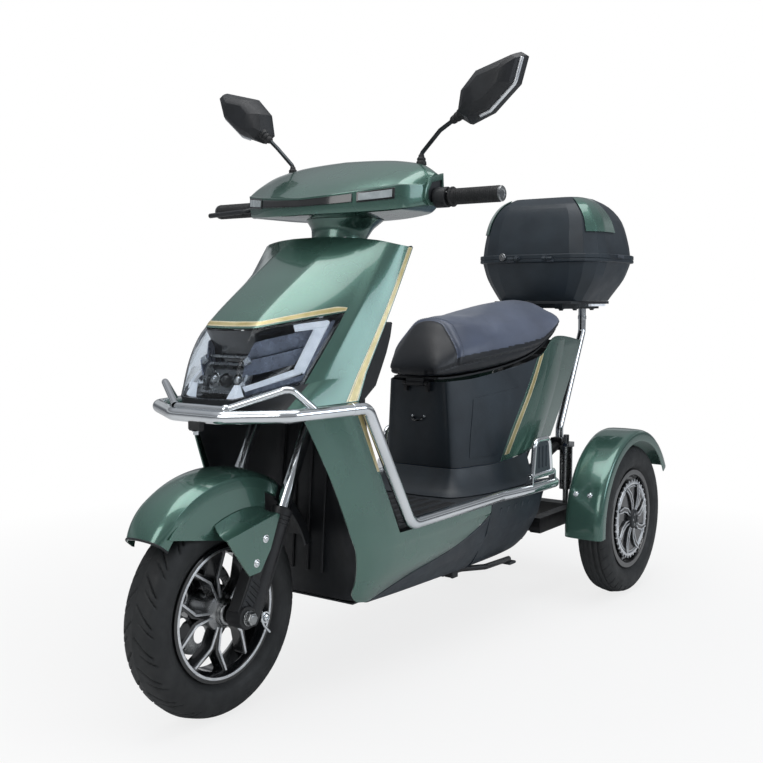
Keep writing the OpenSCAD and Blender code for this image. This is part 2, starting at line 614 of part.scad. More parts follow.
// A stretch of the mudguard between two angles, with its outside radius r
module mudguard(r, from, to) {
  at_front() translate([0, guard_c.x, guard_c.y]) rotate([from, 0, 0]) rotate([90, 0, 90])
    rotate_extrude(angle = to - from)
    polygon([[r - 36, -guard_half], [r - 16, -guard_half + 2], [r - 4, -guard_half + 20], [r, 0],
      [r - 4, guard_half - 20],
      [r - 16, guard_half - 2], [r - 36, guard_half], [r - 36, guard_half - 3], [r - 18, guard_half - 5],
      [r - 7, guard_half - 22], [r - 3, 0], [r - 7, -guard_half + 22], [r - 18, -guard_half + 5],
        [r - 36, -guard_half + 3]]);
}
guard_split = 60;
// Side wall, ledge and plate that carry the mudguard on each fork leg: along the scooter and height
wall_edge = [[-161, 373], [-106, 417], [-32, 445], [48, 445], [88, 432], [88, 380], [-30, 349]];
ledge_edge = [[-50, 352], [87, 381], [87, 385], [-50, 356]];
plate_edge = [[-52, 357], [86, 385], [93, 382], [66, 319], [38, 281], [7, 279]];
plate_x = fork_half + leg_web + fit;
module side_slab(x, w, edge) {
  translate([x, 0, 0]) rotate([90, 0, 90]) linear_extrude(w) polygon(edge);
}
module front_fender() {
  color("DarkSeaGreen") {
    mudguard(guard_arc_r, guard_split, 142);
    for (side = [-1, 1]) at_front() translate([0, 0, tyre_r - 202]) on_side(side) {
      side_slab(guard_half - 3.5, 3, wall_edge);
      side_slab(guard_half - 2, plate_x + 3 - guard_half + 2, ledge_edge);
      side_slab(plate_x, 4, plate_edge);
    }
  }
}
module fender_flap() {
  color("Black") mudguard(guard_arc_r - 4, 20, guard_split - 0.1);
}

// Green neck between the body and the headset cover
neck_low = along(898);
neck_high = along(1000);
module steering_neck() {
  color("DarkSeaGreen") intersection() {
    steered() rotate_extrude() polygon([[stem_r + fit, neck_low], [58, neck_low], [62, neck_low + 36],
      [72, neck_low + 58], [84, neck_low + 74], [84, neck_high], [stem_r + fit, neck_high]]);
    translate([-100, front_axle_y, 880]) cube([200, 700, 964 - 880]);
  }
}

// Headset cover: it ends beside the lever clamp at the inner end of the grip
grip_start = bar_half - grip_len;
head_half = grip_start - 40;
// Rows of place from the middle, front edge, back edge, bottom, lip height and top
head_rows = [[0, 262, 498, 964.3, 999, 1090], [60, 267, 496, 964.3, 1002, 1088],
  [120, 286, 488, 966, 1008, 1084], [180, 318, 470, 970, 1016, 1074],
  [206, 336, 456, 974, 1020, 1064], [228, 378, 442, 984, 1022, 1050]];
// A place across the cover, for the half-width it has
function head_x(x) = x * head_half / head_rows[5][0];
function head_ring(x, r) = [for (p = [[r[1], r[3]], [r[1] - 2, mix(r[3], r[4], 0.5)], [r[1], r[4]],
  [mix(r[1], r[2], 0.35), mix(r[4], r[5], 0.6)], [mix(r[1], r[2], 0.7), r[5]],
  [mix(r[1], r[2], 0.84), r[5] - 4], [r[2], mix(r[3], r[5], 0.45)], [r[2] - 12, r[3]]])
  [head_x(x), p.x + front_axle_y, p.y]];
head_lines = transpose([for (c = transpose(head_rows)) smooth(c, 2)]);
bar_y = 420;
bar_z = 1000;
module headset_cover() {
  color("DarkSeaGreen") difference() {
    loft(concat([for (i = [len(head_lines) - 1 : -1 : 1]) head_ring(-head_lines[i][0], head_lines[i])],
      [for (r = head_lines) head_ring(r[0], r)]));
    at_front() rod([-bar_half, bar_y, bar_z], [bar_half, bar_y, bar_z], bar_r + fit);
  }
}
// Light strip along the front lip of the headset cover
strip_rows = [for (r = head_lines) if (r[0] < 200) r];
function strip_row(x, r) = [for (t = [0.12, 0.5, 0.88])
  [head_x(x), r[1] + front_axle_y - 2 * (1 - abs(2 * t - 1)) - fit, mix(r[3], r[4], t)]];
module headset_lamp() {
  color("White") panel(concat([for (i = [len(strip_rows) - 1 : -1 : 1]) strip_row(-strip_rows[i][0],
    strip_rows[i])],
    [for (r = strip_rows) strip_row(r[0], r)]), 3);
}

module handlebar() {
  color("Black") at_front() rod([-bar_half + 4, bar_y, bar_z], [bar_half - 4, bar_y, bar_z], bar_r);
}
// The throttle grip on the right is a little thicker than the left one
function grip_radius(side) = side > 0 ? grip_r : grip_r + 0.5;
module grips() {
  color("Black") at_front() for (side = [-1, 1]) on_side(side) difference() {
    union() {
      rod([grip_start, bar_y, bar_z], [bar_half, bar_y, bar_z], grip_radius(side));
      rod([grip_start, bar_y, bar_z], [grip_start + 5, bar_y, bar_z], grip_r + 4);
    }
    rod([grip_start - 1, bar_y, bar_z], [bar_half - 4 + fit, bar_y, bar_z], bar_r + fit / 2);
  }
}
module brake_levers() {
  color("Black") at_front() for (side = [-1, 1]) on_side(side) {
    difference() {
      rod([grip_start - 38, bar_y, bar_z], [grip_start - 6, bar_y, bar_z], 21);
      rod([grip_start - 39, bar_y, bar_z], [grip_start - 5, bar_y, bar_z], bar_r + fit / 2);
    }
    if (side < 0) pipe([[grip_start - 22, bar_y - 15, bar_z], [grip_start - 18, bar_y - 52, bar_z - 8],
      [bar_half - 16, bar_y - 46, bar_z - 12]], 5, 18);
  }
}

// Mirrors: a stem from the headset cover and a six-sided housing that faces the rider
mirror_outline = [[262, 1164], [288, 1148], [340, 1166], [398, 1216], [414, 1268], [402, 1276],
  [310, 1252], [270, 1212]];
mirror_y = 440;
// The right mirror is set a little further in and up
mirror_x = head_x(176);
function mirror_set(side) = [mirror_x - 176, 0, 0] + (side > 0 ? [0, 0, 0] : [-12, 0, 9]);
function mirror_ring(y, s, side) = [for (p = mirror_outline)
  [mix(338, p.x, s), y + front_axle_y, mix(1214, p.y, s)] + mirror_set(side)];
module mirror_arm(side) {
  on_side(side) {
    loft([for (r = [[30, 1], [16, 1.0], [-8, 0.86], [-22, 0.5]]) mirror_ring(mirror_y + r[0], r[1], side)]);
    at_front() pipe([[mirror_x, 446, 1074.8], [mirror_x, 446, 1096], [mirror_x + 46, 446, 1140],
      [290, 446, 1178] + mirror_set(side)], 5, 14);
    at_front() rod([mirror_x, 446, 1075.2], [mirror_x, 446, 1088], 9);
  }
}
module mirror_left() { color("Black") mirror_arm(1); }
module mirror_right() { color("Black") mirror_arm(-1); }
module mirror_glass() {
  color("LightGray") for (side = [-1, 1]) on_side(side)
    loft([mirror_ring(mirror_y + 30 + fit + 2, 0.9, side), mirror_ring(mirror_y + 30 + fit, 0.9, side)]);
}

// Tyre outline: half-width and radius from the bead to the crown
bead_r = rim_r - 9;
bead_half = 29;
tyre_side = smooth([[bead_half - 1, bead_r + fit], [bead_half - 1, rim_r + 1],
  [mix(bead_half, tyre_w / 2, 0.75), mix(rim_r, tyre_r, 0.2)],
  [tyre_w / 2, mix(rim_r, tyre_r, 0.48)], [tyre_w / 2 - 4, mix(rim_r, tyre_r, 0.74)],
    [tyre_w / 2 - 15, tyre_r - 6],
  [0, tyre_r]], 2);
module tyre() {
  wheel_axis() rotate_extrude()
    polygon([for (p = concat(tyre_side, [for (i = [len(tyre_side) - 2 : -1 : 0]) [-tyre_side[i].x,
      tyre_side[i].y]])) [p.y, p.x]]);
}
rim_edge = bead_half + fit;
module rim_ring(inner) {
  wheel_axis() rotate_extrude() polygon([[bead_r, -rim_edge], [rim_r, -rim_edge], [rim_r, -rim_edge - 4],
    [bead_r - 5, -rim_edge - 4],
    [inner, -rim_edge + 8], [inner, rim_edge - 8], [bead_r - 5, rim_edge + 4], [rim_r, rim_edge + 4],
      [rim_r, rim_edge], [bead_r, rim_edge]]);
}

module front_tyre() { color("Black") at_front() translate([0, 0, tyre_r]) tyre(); }

// Front rim with five forked spokes and its hub
spoke_count = 5;
spoke_w = 17;
hub_r = 32;
disc_x = -40;
disc_r = 92;
module spoke_bar(a, b, w) {
  n = unit([b.y - a.y, a.x - b.x]) * w / 2;
  polygon([a + n, b + n, b - n, a - n]);
}
module front_rim() {
  color("DimGray") at_front() translate([0, 0, tyre_r]) difference() {
    union() {
      rim_ring(bead_r - 12);
      wheel_axis() translate([0, 0, disc_x + 2 + fit]) cylinder(r = hub_r, h = 44 - disc_x - 2);
      for (k = [0 : spoke_count - 1]) rotate([k * 360 / spoke_count, 0, 0]) rotate([90, 0, 90])
        translate([0, 0, -4])
        linear_extrude(28) {
          spoke_bar([0, 20], [0, 78], spoke_w + 6);
          for (s = [-1, 1]) spoke_bar([s * 4, 64], [s * 30, bead_r - 9], spoke_w);
        }
    }
    wheel_axis() translate([0, 0, -60]) cylinder(r = axle_r + fit, h = 120);
  }
}
module brake_disc() {
  color("Silver") at_front() translate([disc_x, 0, tyre_r]) wheel_axis() difference() {
    cylinder(r = disc_r, h = 4, center = true);
    cylinder(r = axle_r + fit, h = 20, center = true);
    for (k = [0 : 5]) rotate(k * 60) translate([56, 0, 0]) cylinder(r = 17, h = 20, center = true);
  }
}
module brake_caliper() {
  color("DimGray") steered() difference() {
    union() {
      translate([disc_x - 20, lower_r + 2, 0]) cube([38, 38, 44]);
      translate([-fork_half - 12, lower_r + fit, 4]) cube([30, 12, 36]);
    }
    translate([disc_x, -axle_out, axle_down]) wheel_axis()
      cylinder(r = disc_r + 5, h = 4 + 12, center = true);
  }
}

// Rear wheels: tyre, and a hub motor with curved vanes on its outer face
vane_count = 10;
motor_r = bead_r - 21;
motor_half = 34;
module rear_hub(side) {
  at_rear() on_side(side) translate([half_track, 0, tyre_r]) difference() {
    union() {
      rim_ring(bead_r - 10);
      wheel_axis() translate([0, 0, -motor_half]) cylinder(r = bead_r - 8, h = motor_half + 20);
      wheel_axis() cylinder(r = motor_r, h = motor_half);
      wheel_axis() cylinder(r = 26, h = motor_half + 12);
      for (k = [0 : vane_count - 1]) rotate([k * 360 / vane_count, 0, 0]) rotate([90, 0, 90])
        translate([0, 0, motor_half - 2])
        linear_extrude(8) polygon([[16, 12], [34, 34], [42, 60], [38, motor_r - 9], [30, motor_r - 9],
          [30, 62], [24, 40], [8, 22]]);
    }
    wheel_axis() translate([0, 0, -60]) cylinder(r = spindle_r + fit, h = 60 + 30 + fit);
  }
}
module rear_tyre(side) { at_rear() on_side(side) translate([half_track, 0, tyre_r]) tyre(); }
module rear_tyre_left() { color("Black") rear_tyre(1); }
module rear_tyre_right() { color("Black") rear_tyre(-1); }
module rear_hub_left() { color("DimGray") rear_hub(1); }
module rear_hub_right() { color("DimGray") rear_hub(-1); }

// Side stand, folded back along the left side
stand_pivot = [108, 675, 146];
stand_pin_r = 5;
module side_stand() {
  color("Black") at_front() difference() {
    union() {
      rod(stand_pivot - [10, 0, 0], stand_pivot + [10, 0, 0], 12);
      pipe([stand_pivot, stand_pivot + [0, 50, -2], stand_pivot + [34, 110, -4],
        stand_pivot + [34, 228, -8]], 7, 20);
      translate(stand_pivot + [22, 214, -20]) cube([24, 28, 7]);
    }
    rod(stand_pivot - [11, 0, 0], stand_pivot + [11, 0, 0], stand_pin_r + fit);
  }
}

// Folding passenger footrests: a tube loop with a plate, on a hinge along the rail
step_front = wheelbase - 398;
step_back = step_front + 110;
step_z = guard_z + 30;
module footrest(side) {
  at_front() on_side(side) {
    rod([step_x, step_front - 10, step_z], [step_x, step_back + 10, step_z], 4);
    rod([step_x, step_front, step_z], [step_x, step_back, step_z], 8);
    pipe([[step_x, step_front + 6, step_z], [step_x, step_front + 18, step_z + 88],
      [step_x, step_back - 18, step_z + 88],
      [step_x, step_back - 6, step_z]], 6.5, 22);
    translate([step_x - 2, step_front + 16, step_z]) cube([4, step_back - step_front - 32, 82]);
  }
}
module footrest_left() { color("Silver") footrest(1); }
module footrest_right() { color("Silver") footrest(-1); }

frame();
rear_axle();
rear_shocks();
front_cowl();
headlamp();
leg_shield_left();
leg_shield_right();
inner_shield();
wheel_liner();
floor_board();
side_skirt_left();
side_skirt_right();
belly_pan();
seat_plinth();
seat_box();
tail_panel_left();
tail_panel_right();
tail_cover();
tail_lamp();
battery_pack();
seat_hinge();
guard_bar();
guard_rail_left();
guard_rail_right();
rear_rack();
rear_fender_left();
rear_fender_right();
luggage_tub();
luggage_lid();
seat_cushion();
seat_pan();
fork_stem();
fork_tubes();
fork_lowers();
front_axle();
front_fender();
fender_flap();
steering_neck();
headset_cover();
headset_lamp();
handlebar();
grips();
brake_levers();
mirror_left();
mirror_right();
mirror_glass();
front_tyre();
front_rim();
brake_disc();
brake_caliper();
rear_tyre_left();
rear_hub_left();
rear_tyre_right();
rear_hub_right();
side_stand();
footrest_left();
footrest_right();
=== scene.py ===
import bpy
import math
import numpy as np
from math import cos, pi, radians, sin
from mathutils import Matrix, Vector
from mathutils.bvhtree import BVHTree


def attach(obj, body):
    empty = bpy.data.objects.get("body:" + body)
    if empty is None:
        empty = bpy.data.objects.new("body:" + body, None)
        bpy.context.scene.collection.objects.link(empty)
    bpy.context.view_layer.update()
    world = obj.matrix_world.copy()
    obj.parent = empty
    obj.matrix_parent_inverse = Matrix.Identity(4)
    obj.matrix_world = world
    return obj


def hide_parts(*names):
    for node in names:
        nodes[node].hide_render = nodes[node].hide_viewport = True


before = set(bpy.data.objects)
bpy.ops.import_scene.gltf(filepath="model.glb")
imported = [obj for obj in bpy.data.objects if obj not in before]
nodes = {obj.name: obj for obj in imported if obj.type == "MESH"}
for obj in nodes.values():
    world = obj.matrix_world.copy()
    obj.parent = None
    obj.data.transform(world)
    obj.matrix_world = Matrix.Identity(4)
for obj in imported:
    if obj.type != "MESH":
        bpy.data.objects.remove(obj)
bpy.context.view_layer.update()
scene = bpy.context.scene
scene.view_settings.view_transform = "Standard"

# Points are written in millimetres, measured along Y from the front axle
AXLE = -700.0
WHEEL_R = 202  # also the height of the axles
REAR_X, REAR_Y = 288, 1260  # half the rear track, and the rear axle
RAKE = radians(27)
SIDES = ((1, "left"), (-1, "right"))
X_AXIS, Z_AXIS = (1, 0, 0), (0, 0, 1)
lin = np.linspace


def place(points):
    return (np.asarray(points, float).reshape(-1, 3) + (0, AXLE, 0)) / 1000


def arr(x):
    return np.array(x, float)


def unit(v):
    v = arr(v)
    return v / np.linalg.norm(v)


def mix(a, b, t):
    return a + (b - a) * t


def curve(p, n):
    """A smooth open curve through the points p, with n steps between neighbours."""
    p = arr(p)
    out = []
    for i in range(len(p) - 1):
        a, b, c, d = p[max(i - 1, 0)], p[i], p[i + 1], p[min(i + 2, len(p) - 1)]
        for k in range(n):
            t = k / n
            out.append(0.5 * (2 * b + (c - a) * t + (2 * a - 5 * b + 4 * c - d) * t * t
                              + (3 * b - a - 3 * c + d) * t ** 3))
    return np.array(out + [p[-1]])


def creased(p, n, breaks=()):
    """The same, but with a corner at each index in breaks."""
    cuts = [0, *breaks, len(p) - 1]
    parts = [curve(p[a:b + 1], n) for a, b in zip(cuts, cuts[1:])]
    return np.concatenate([q[:-1] for q in parts] + [parts[-1][-1:]])


def grid_of(rows, n_row, n_col, row_breaks=(), col_breaks=()):
    g = np.array([creased(r, n_row, row_breaks) for r in rows])
    return np.array([creased(c, n_col, col_breaks) for c in g.transpose(1, 0, 2)]).transpose(1, 0, 2)


def flip(p):
    return arr(p) * (-1, 1, 1)


def both(half):
    """A row given from the middle out to +X, completed to run from +X to -X."""
    half = arr(half)
    return np.concatenate([half[::-1], flip(half[1:])])


def normals(g):
    n = np.cross(np.gradient(g, axis=0), np.gradient(g, axis=1))
    return n / np.maximum(np.linalg.norm(n, axis=2, keepdims=True), 1e-9)


def outward(g, i, j, way):
    """The grid's normals, turned so that the one at i, j points along way."""
    n = normals(g)
    return n if n[i, j] @ way > 0 else -n


def surface(g, n, per_column, per_row):
    """A function for points of a body grid: column s (0 in the middle, 6 at +X), row r, d outside the face."""
    def at(s, r, d=0.0):
        i = np.clip(r * per_row, 0, g.shape[0] - 1.001)
        j = np.clip((6 - s) * per_column, 0, g.shape[1] - 1.001)
        a, b = int(i), int(j)
        u, w = i - a, j - b

        def blend(q):
            return ((1 - u) * ((1 - w) * q[a, b] + w * q[a, b + 1])
                    + u * ((1 - w) * q[a + 1, b] + w * q[a + 1, b + 1]))

        return blend(g) + d * blend(n)

    return at


class Build:
    """Collects vertices and faces of one piece, with a material number for each face."""

    def __init__(self):
        self.v, self.f, self.m, self.n = [], [], [], 0

    def add(self, v, f, mat=0, over=None):
        v = arr(v).reshape(-1, 3)
        mat = mat if over is None else over
        self.f += [[i + self.n for i in face] for face in f]
        self.m += [mat] * len(f) if np.isscalar(mat) else list(mat)
        self.v.append(v)
        self.n += len(v)
        return self

    def make(self, name, mats, body, slot, node=None, bevel=0, segments=2, angle=35):
        """The piece takes the place of the CAD node of its own name, unless node names another or is empty."""
        me = bpy.data.meshes.new(name)
        me.from_pydata(place(np.concatenate(self.v)).tolist(), [], self.f)
        me.validate()
        if len(me.polygons) == len(self.m):
            me.polygons.foreach_set("material_index", self.m)
        me.polygons.foreach_set("use_smooth", [True] * len(me.polygons))
        for m in mats if isinstance(mats, list) else [mats]:
            me.materials.append(m)
        ob = bpy.data.objects.new(name, me)
        scene.collection.objects.link(ob)
        soften(ob, bevel, segments, angle)
        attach(ob, body)
        if node != "":
            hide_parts(node or name)


def soften(ob, bevel, segments=2, angle=35):
    if not bevel:
        ob.data.set_sharp_from_angle(angle=radians(angle))
        return
    b = ob.modifiers.new("bevel", "BEVEL")
    b.width, b.segments = bevel / 1000, segments
    b.limit_method, b.angle_limit = "ANGLE", radians(angle)
    ob.modifiers.new("normals", "WEIGHTED_NORMAL").keep_sharp = True


def facing(f, keep):
    """Faces as they are, or turned round where keep is false."""
    return f if keep else [q[::-1] for q in f]


def panel(g, t, keep=None, mat_of=None):
    """A moulded panel: g is the outer face, t its thickness along the grid's normal."""
    rows, cols = g.shape[:2]

    def here(i, j):
        return 0 <= i < rows - 1 and 0 <= j < cols - 1 and (keep is None or keep(i, j))

    n = rows * cols
    v = np.concatenate([g.reshape(-1, 3), (g + t * normals(g)).reshape(-1, 3)])
    f, m = [], []
    for i in range(rows - 1):
        for j in range(cols - 1):
            if not here(i, j):
                continue
            a, b, c, d = i * cols + j, (i + 1) * cols + j, (i + 1) * cols + j + 1, i * cols + j + 1
            new = [(a, b, c, d), (n + d, n + c, n + b, n + a)]
            for i2, j2, p, q in ((i - 1, j, a, d), (i + 1, j, c, b), (i, j - 1, b, a), (i, j + 1, d, c)):
                if not here(i2, j2):
                    new.append((p, q, n + q, n + p))
            f += [x[::-1] for x in new] if t > 0 else new
            m += [mat_of(i, j) if mat_of else 0] * len(new)
    used = sorted({i for x in f for i in x})
    new_index = {o: i for i, o in enumerate(used)}
    return v[used], [tuple(new_index[i] for i in x) for x in f], m


def loft(rings, caps=True):
    rings = arr(rings)
    n, c = rings.shape[:2]
    f = [(i * c + j, i * c + (j + 1) % c, (i + 1) * c + (j + 1) % c, (i + 1) * c + j)
         for i in range(n - 1) for j in range(c)]
    if caps:
        f += [tuple(range(c))[::-1], tuple((n - 1) * c + j for j in range(c))]
    return rings.reshape(-1, 3), f


def bent(path, bend, step=6):
    """Points and directions along a path whose corners are rounded to the radius bend."""
    path = [arr(p) for p in path]
    d = [unit(b - a) for a, b in zip(path, path[1:])]
    out = [(path[0], d[0])]
    for i in range(1, len(path) - 1):
        y = d[i - 1]
        turn = math.acos(max(-1, min(1, float(y @ d[i]))))
        if turn < 0.01:
            continue
        x = unit(d[i] - (d[i] @ y) * y)
        room = min(np.linalg.norm(path[i] - path[i - 1]), np.linalg.norm(path[i + 1] - path[i]))
        r = min(bend, 0.48 * room / math.tan(turn / 2))
        c = path[i] - y * r * math.tan(turn / 2) + x * r
        n = max(3, round(math.degrees(turn) / step))
        for k in range(n + 1):
            a = turn * k / n
            out.append((c - x * r * cos(a) + y * r * sin(a), y * cos(a) + x * sin(a)))
    return out + [(path[-1], d[-1])]


def tube(path, r, bend=20, sides=20, step=6, r_of=None):
    """A round bent tube with slightly domed ends."""
    pts = bent(path, bend, step)
    u = arr(Z_AXIS) if abs(pts[0][1][2]) < 0.8 else arr(X_AXIS)
    rings = []
    for i, (p, t) in enumerate(pts):
        u = unit(u - (u @ t) * t)
        w = np.cross(t, u)
        rr = r_of(i / (len(pts) - 1)) if r_of else r
        ring, inner = ([p + k * rr * (cos(x) * u + sin(x) * w) for x in np.arange(sides) * 2 * pi / sides]
                       for k in (1, 0.8))
        if i == 0:
            rings.append([q - t * 0.12 * rr for q in inner])
        rings.append(ring)
        if i == len(pts) - 1:
            rings.append([q + t * 0.12 * rr for q in inner])
    return loft(rings)


def turned(profile, centre, axis=X_AXIS, seg=64, closed=False):
    """A turned form: profile gives (distance along the axis, radius)."""
    ax = unit(axis)
    u = unit(np.cross(ax, Z_AXIS if abs(ax[2]) < 0.9 else X_AXIS))
    w = np.cross(ax, u)
    a = np.arange(seg) * 2 * pi / seg
    v = [arr(centre) + ax * h + r * (cos(x) * u + sin(x) * w) for h, r in profile for x in a]
    m = len(profile)
    f = []
    for i in range(m if closed else m - 1):
        for j in range(seg):
            k, i2 = (j + 1) % seg, (i + 1) % m
            f.append((i * seg + j, i2 * seg + j, i2 * seg + k, i * seg + k))
    return v, f


def slab(outline, axis, a, b):
    """A plate: the outline (two coordinates in order of the other axes) between a and b on axis."""
    o = [list(p) for p in outline]
    n = len(o)
    v = [p[:axis] + [h] + p[axis:] for h in (a, b) for p in o]
    area = sum(o[i][0] * o[(i + 1) % n][1] - o[(i + 1) % n][0] * o[i][1] for i in range(n))
    f = [(i, (i + 1) % n, n + (i + 1) % n, n + i) for i in range(n)]
    f += [tuple(range(n))[::-1], tuple(range(n, 2 * n))]
    return v, facing(f, (area > 0) != (axis == 1))


def block(lo, hi):
    (x0, y0, z0), (x1, y1, z1) = lo, hi
    return slab([(y0, z0), (y1, z0), (y1, z1), (y0, z1)], 0, x0, x1)


def side_slab(outline, side, a, b):
    """A plate standing across X, between a and b out from the middle on one side."""
    return slab(outline, 0, *sorted((side * a, side * b)))


def side_block(side, lo, hi):
    """A block on one side of the part, with its corners' X counted out from the middle."""
    a, b = sorted((side * lo[0], side * hi[0]))
    return block((a, *lo[1:]), (b, *hi[1:]))


def spun(outline, x0, x1, a, centre=(0, 0, WHEEL_R), side=1):
    """A plate of a wheel, turned by the angle a about the wheel's centre."""
    v, f = slab(outline, 0, x0, x1)
    cx, cy, cz = centre
    v = [(side * (cx + x), cy + y * cos(a) - z * sin(a), cz + y * sin(a) + z * cos(a)) for x, y, z in v]
    return v, facing(f, side > 0)


def rounded(half_x, half_y, r, n):
    """Points round a rectangle with corners of radius r."""
    return [(cx * (half_x - r) + r * cos(a), cy * (half_y - r) + r * sin(a))
            for cx, cy, a0 in ((1, 1, 0), (-1, 1, 90), (-1, -1, 180), (1, -1, 270))
            for a in (radians(a0 + 90 * k / n) for k in range(n + 1))]


def bolt(p, axis, r, h=None, hexagon=False, washer=True):
    """A domed bolt head on its washer, standing on p and facing along axis."""
    h = h or 0.7 * r
    prof = [(0, 1.45 * r), (0.16 * r, 1.45 * r), (0.2 * r, 1.36 * r), (0.2 * r, r)] if washer else [(0, r)]
    if hexagon:
        return turned(prof + [(h, r), (h + 0.12 * r, 0.8 * r), (h + 0.12 * r, 0.02 * r)], p, axis, 24)
    prof += [(0.45 * h, r), (0.8 * h, 0.86 * r), (h, 0.55 * r), (h, 0.45 * r), (0.55 * h, 0.4 * r),
             (0.55 * h, 0.02 * r)]
    return turned(prof, p, axis, 24)


def srgb(*c):
    return tuple((x / 255 / 12.92 if x <= 10 else ((x / 255 + 0.055) / 1.055) ** 2.4) for x in c) + (1.0,)


def add_node(nt, kind, values={}, links={}, **settings):
    """A shader node with its settings, the values of its sockets and the outputs linked to them."""
    n = nt.nodes.new("ShaderNode" + kind)
    for key, value in settings.items():
        setattr(n, key, value)
    fill(n, values)
    for key, output in links.items():
        nt.links.new(output, n.inputs[key])
    return n


def fill(n, values):
    for key, value in values.items():
        n.inputs[key].default_value = value


def material(name, dark, light, rough, metal=0.0, scale=30.0, bump=0.0, bump_scale=900.0, coat=0.0, wear_and_highlight=None,
             wear_and_highlight_at=(0.54, 0.62), speck=0.0, leather=False, aniso=0.0, sheen=0.0, glow=0.0):
    """A mottled surface between two colours, with its own grain, uneven gloss and a tint on sharp edges: wear on most
    materials, a painted highlight on the green paint.
    """
    m = bpy.data.materials.new(name)
    m.use_nodes = True
    nt = m.node_tree
    b = nt.nodes["Principled BSDF"]
    fill(b, {"Metallic": metal, "Coat Weight": coat, "Coat Roughness": 0.05, "Anisotropic": aniso,
             "Sheen Weight": sheen})
    where = {"Vector": add_node(nt, "TexCoord").outputs["Object"]}

    def noise(size, detail):
        return add_node(nt, "TexNoise", {"Scale": size, "Detail": detail}, where).outputs["Fac"]

    def ramp(source, *stops):
        r = add_node(nt, "ValToRGB", links={"Fac": source})
        for e, (position, shade) in zip(r.color_ramp.elements, stops):
            e.position, e.color = position, shade
        return r.outputs["Color"]

    colour = ramp(noise(scale, 5.0), (0.3, srgb(*dark)), (0.7, srgb(*light)))
    if speck:
        flake = add_node(nt, "TexVoronoi", {"Scale": 1400}, where).outputs["Color"]
        colour = add_node(nt, "Mix", {"Factor": speck}, {"A": colour, "B": flake}, data_type="RGBA",
                          blend_type="OVERLAY").outputs["Result"]
    # Sharp edges take the edge colour: worn edges on most materials, a painted highlight on the green paint
    if wear_and_highlight:
        worn_and_lit = ramp(add_node(nt, "NewGeometry").outputs["Pointiness"], (wear_and_highlight_at[0], (0, 0, 0, 1)),
                    (wear_and_highlight_at[1], (1, 1, 1, 1)))
        colour = add_node(nt, "Mix", {"B": srgb(*wear_and_highlight)}, {"Factor": worn_and_lit, "A": colour},
                          data_type="RGBA").outputs["Result"]
    nt.links.new(colour, b.inputs["Base Color"])
    if glow:
        nt.links.new(colour, b.inputs["Emission Color"])
        fill(b, {"Emission Strength": glow})
    gloss = add_node(nt, "MapRange", {"From Min": 0.3, "From Max": 0.7, "To Min": rough[0], "To Max": rough[1]},
                     {"Value": noise(scale * 2.3, 3.0)})
    nt.links.new(gloss.outputs["Result"], b.inputs["Roughness"])
    if bump:
        if leather:
            height = add_node(nt, "TexVoronoi", {"Scale": bump_scale}, where, feature="SMOOTH_F1").outputs["Distance"]
        else:
            height = noise(bump_scale, 3.0)
        bumps = add_node(nt, "Bump", {"Strength": bump, "Distance": 0.0006}, {"Height": height})
        nt.links.new(bumps.outputs["Normal"], b.inputs["Normal"])
    return m


# The pale mint on the green paint's sharp edges is a painted highlight, not wear
GREEN = material("green_paint", (70, 105, 95), (84, 121, 109), (0.22, 0.3), metal=0.6, scale=4, coat=1.0, speck=0.1,
                 wear_and_highlight=(168, 198, 184), wear_and_highlight_at=(0.57, 0.68))
BLACK = material("black_plastic", (22, 24, 27), (33, 36, 40), (0.42, 0.56), scale=16, bump=0.25, bump_scale=1500,
                 wear_and_highlight=(62, 66, 70))
SLATE = material("slate_plastic", (31, 39, 46), (42, 52, 60), (0.36, 0.48), scale=12, bump=0.2, bump_scale=1300,
                 wear_and_highlight=(74, 80, 88))
GLOSS = material("gloss_black", (10, 11, 13), (18, 20, 22), (0.12, 0.2), scale=20, coat=0.6, wear_and_highlight=(50, 54, 58))
STEEL_BLACK = material("black_steel", (20, 21, 23), (34, 35, 37), (0.4, 0.55), scale=24, bump=0.15, bump_scale=500,
                       wear_and_highlight=(80, 80, 80))
CHROME = material("chrome", (218, 223, 226), (238, 241, 243), (0.09, 0.17), metal=1.0, scale=10)
STEEL = material("steel", (138, 140, 142), (170, 172, 172), (0.22, 0.36), metal=1.0, scale=40, bump=0.05,
                 bump_scale=600)
ALLOY = material("machined_alloy", (214, 218, 222), (238, 240, 242), (0.26, 0.4), metal=1.0, scale=60, bump=0.06,
                 bump_scale=1200, aniso=0.3)
RUBBER = material("tyre_rubber", (26, 28, 29), (38, 40, 41), (0.55, 0.72), scale=18, bump=0.2, bump_scale=800,
                  wear_and_highlight=(66, 68, 68), wear_and_highlight_at=(0.53, 0.64))
SOFT = material("soft_rubber", (20, 21, 22), (32, 33, 35), (0.5, 0.66), bump=0.35, bump_scale=1100, wear_and_highlight=(60, 62, 64))
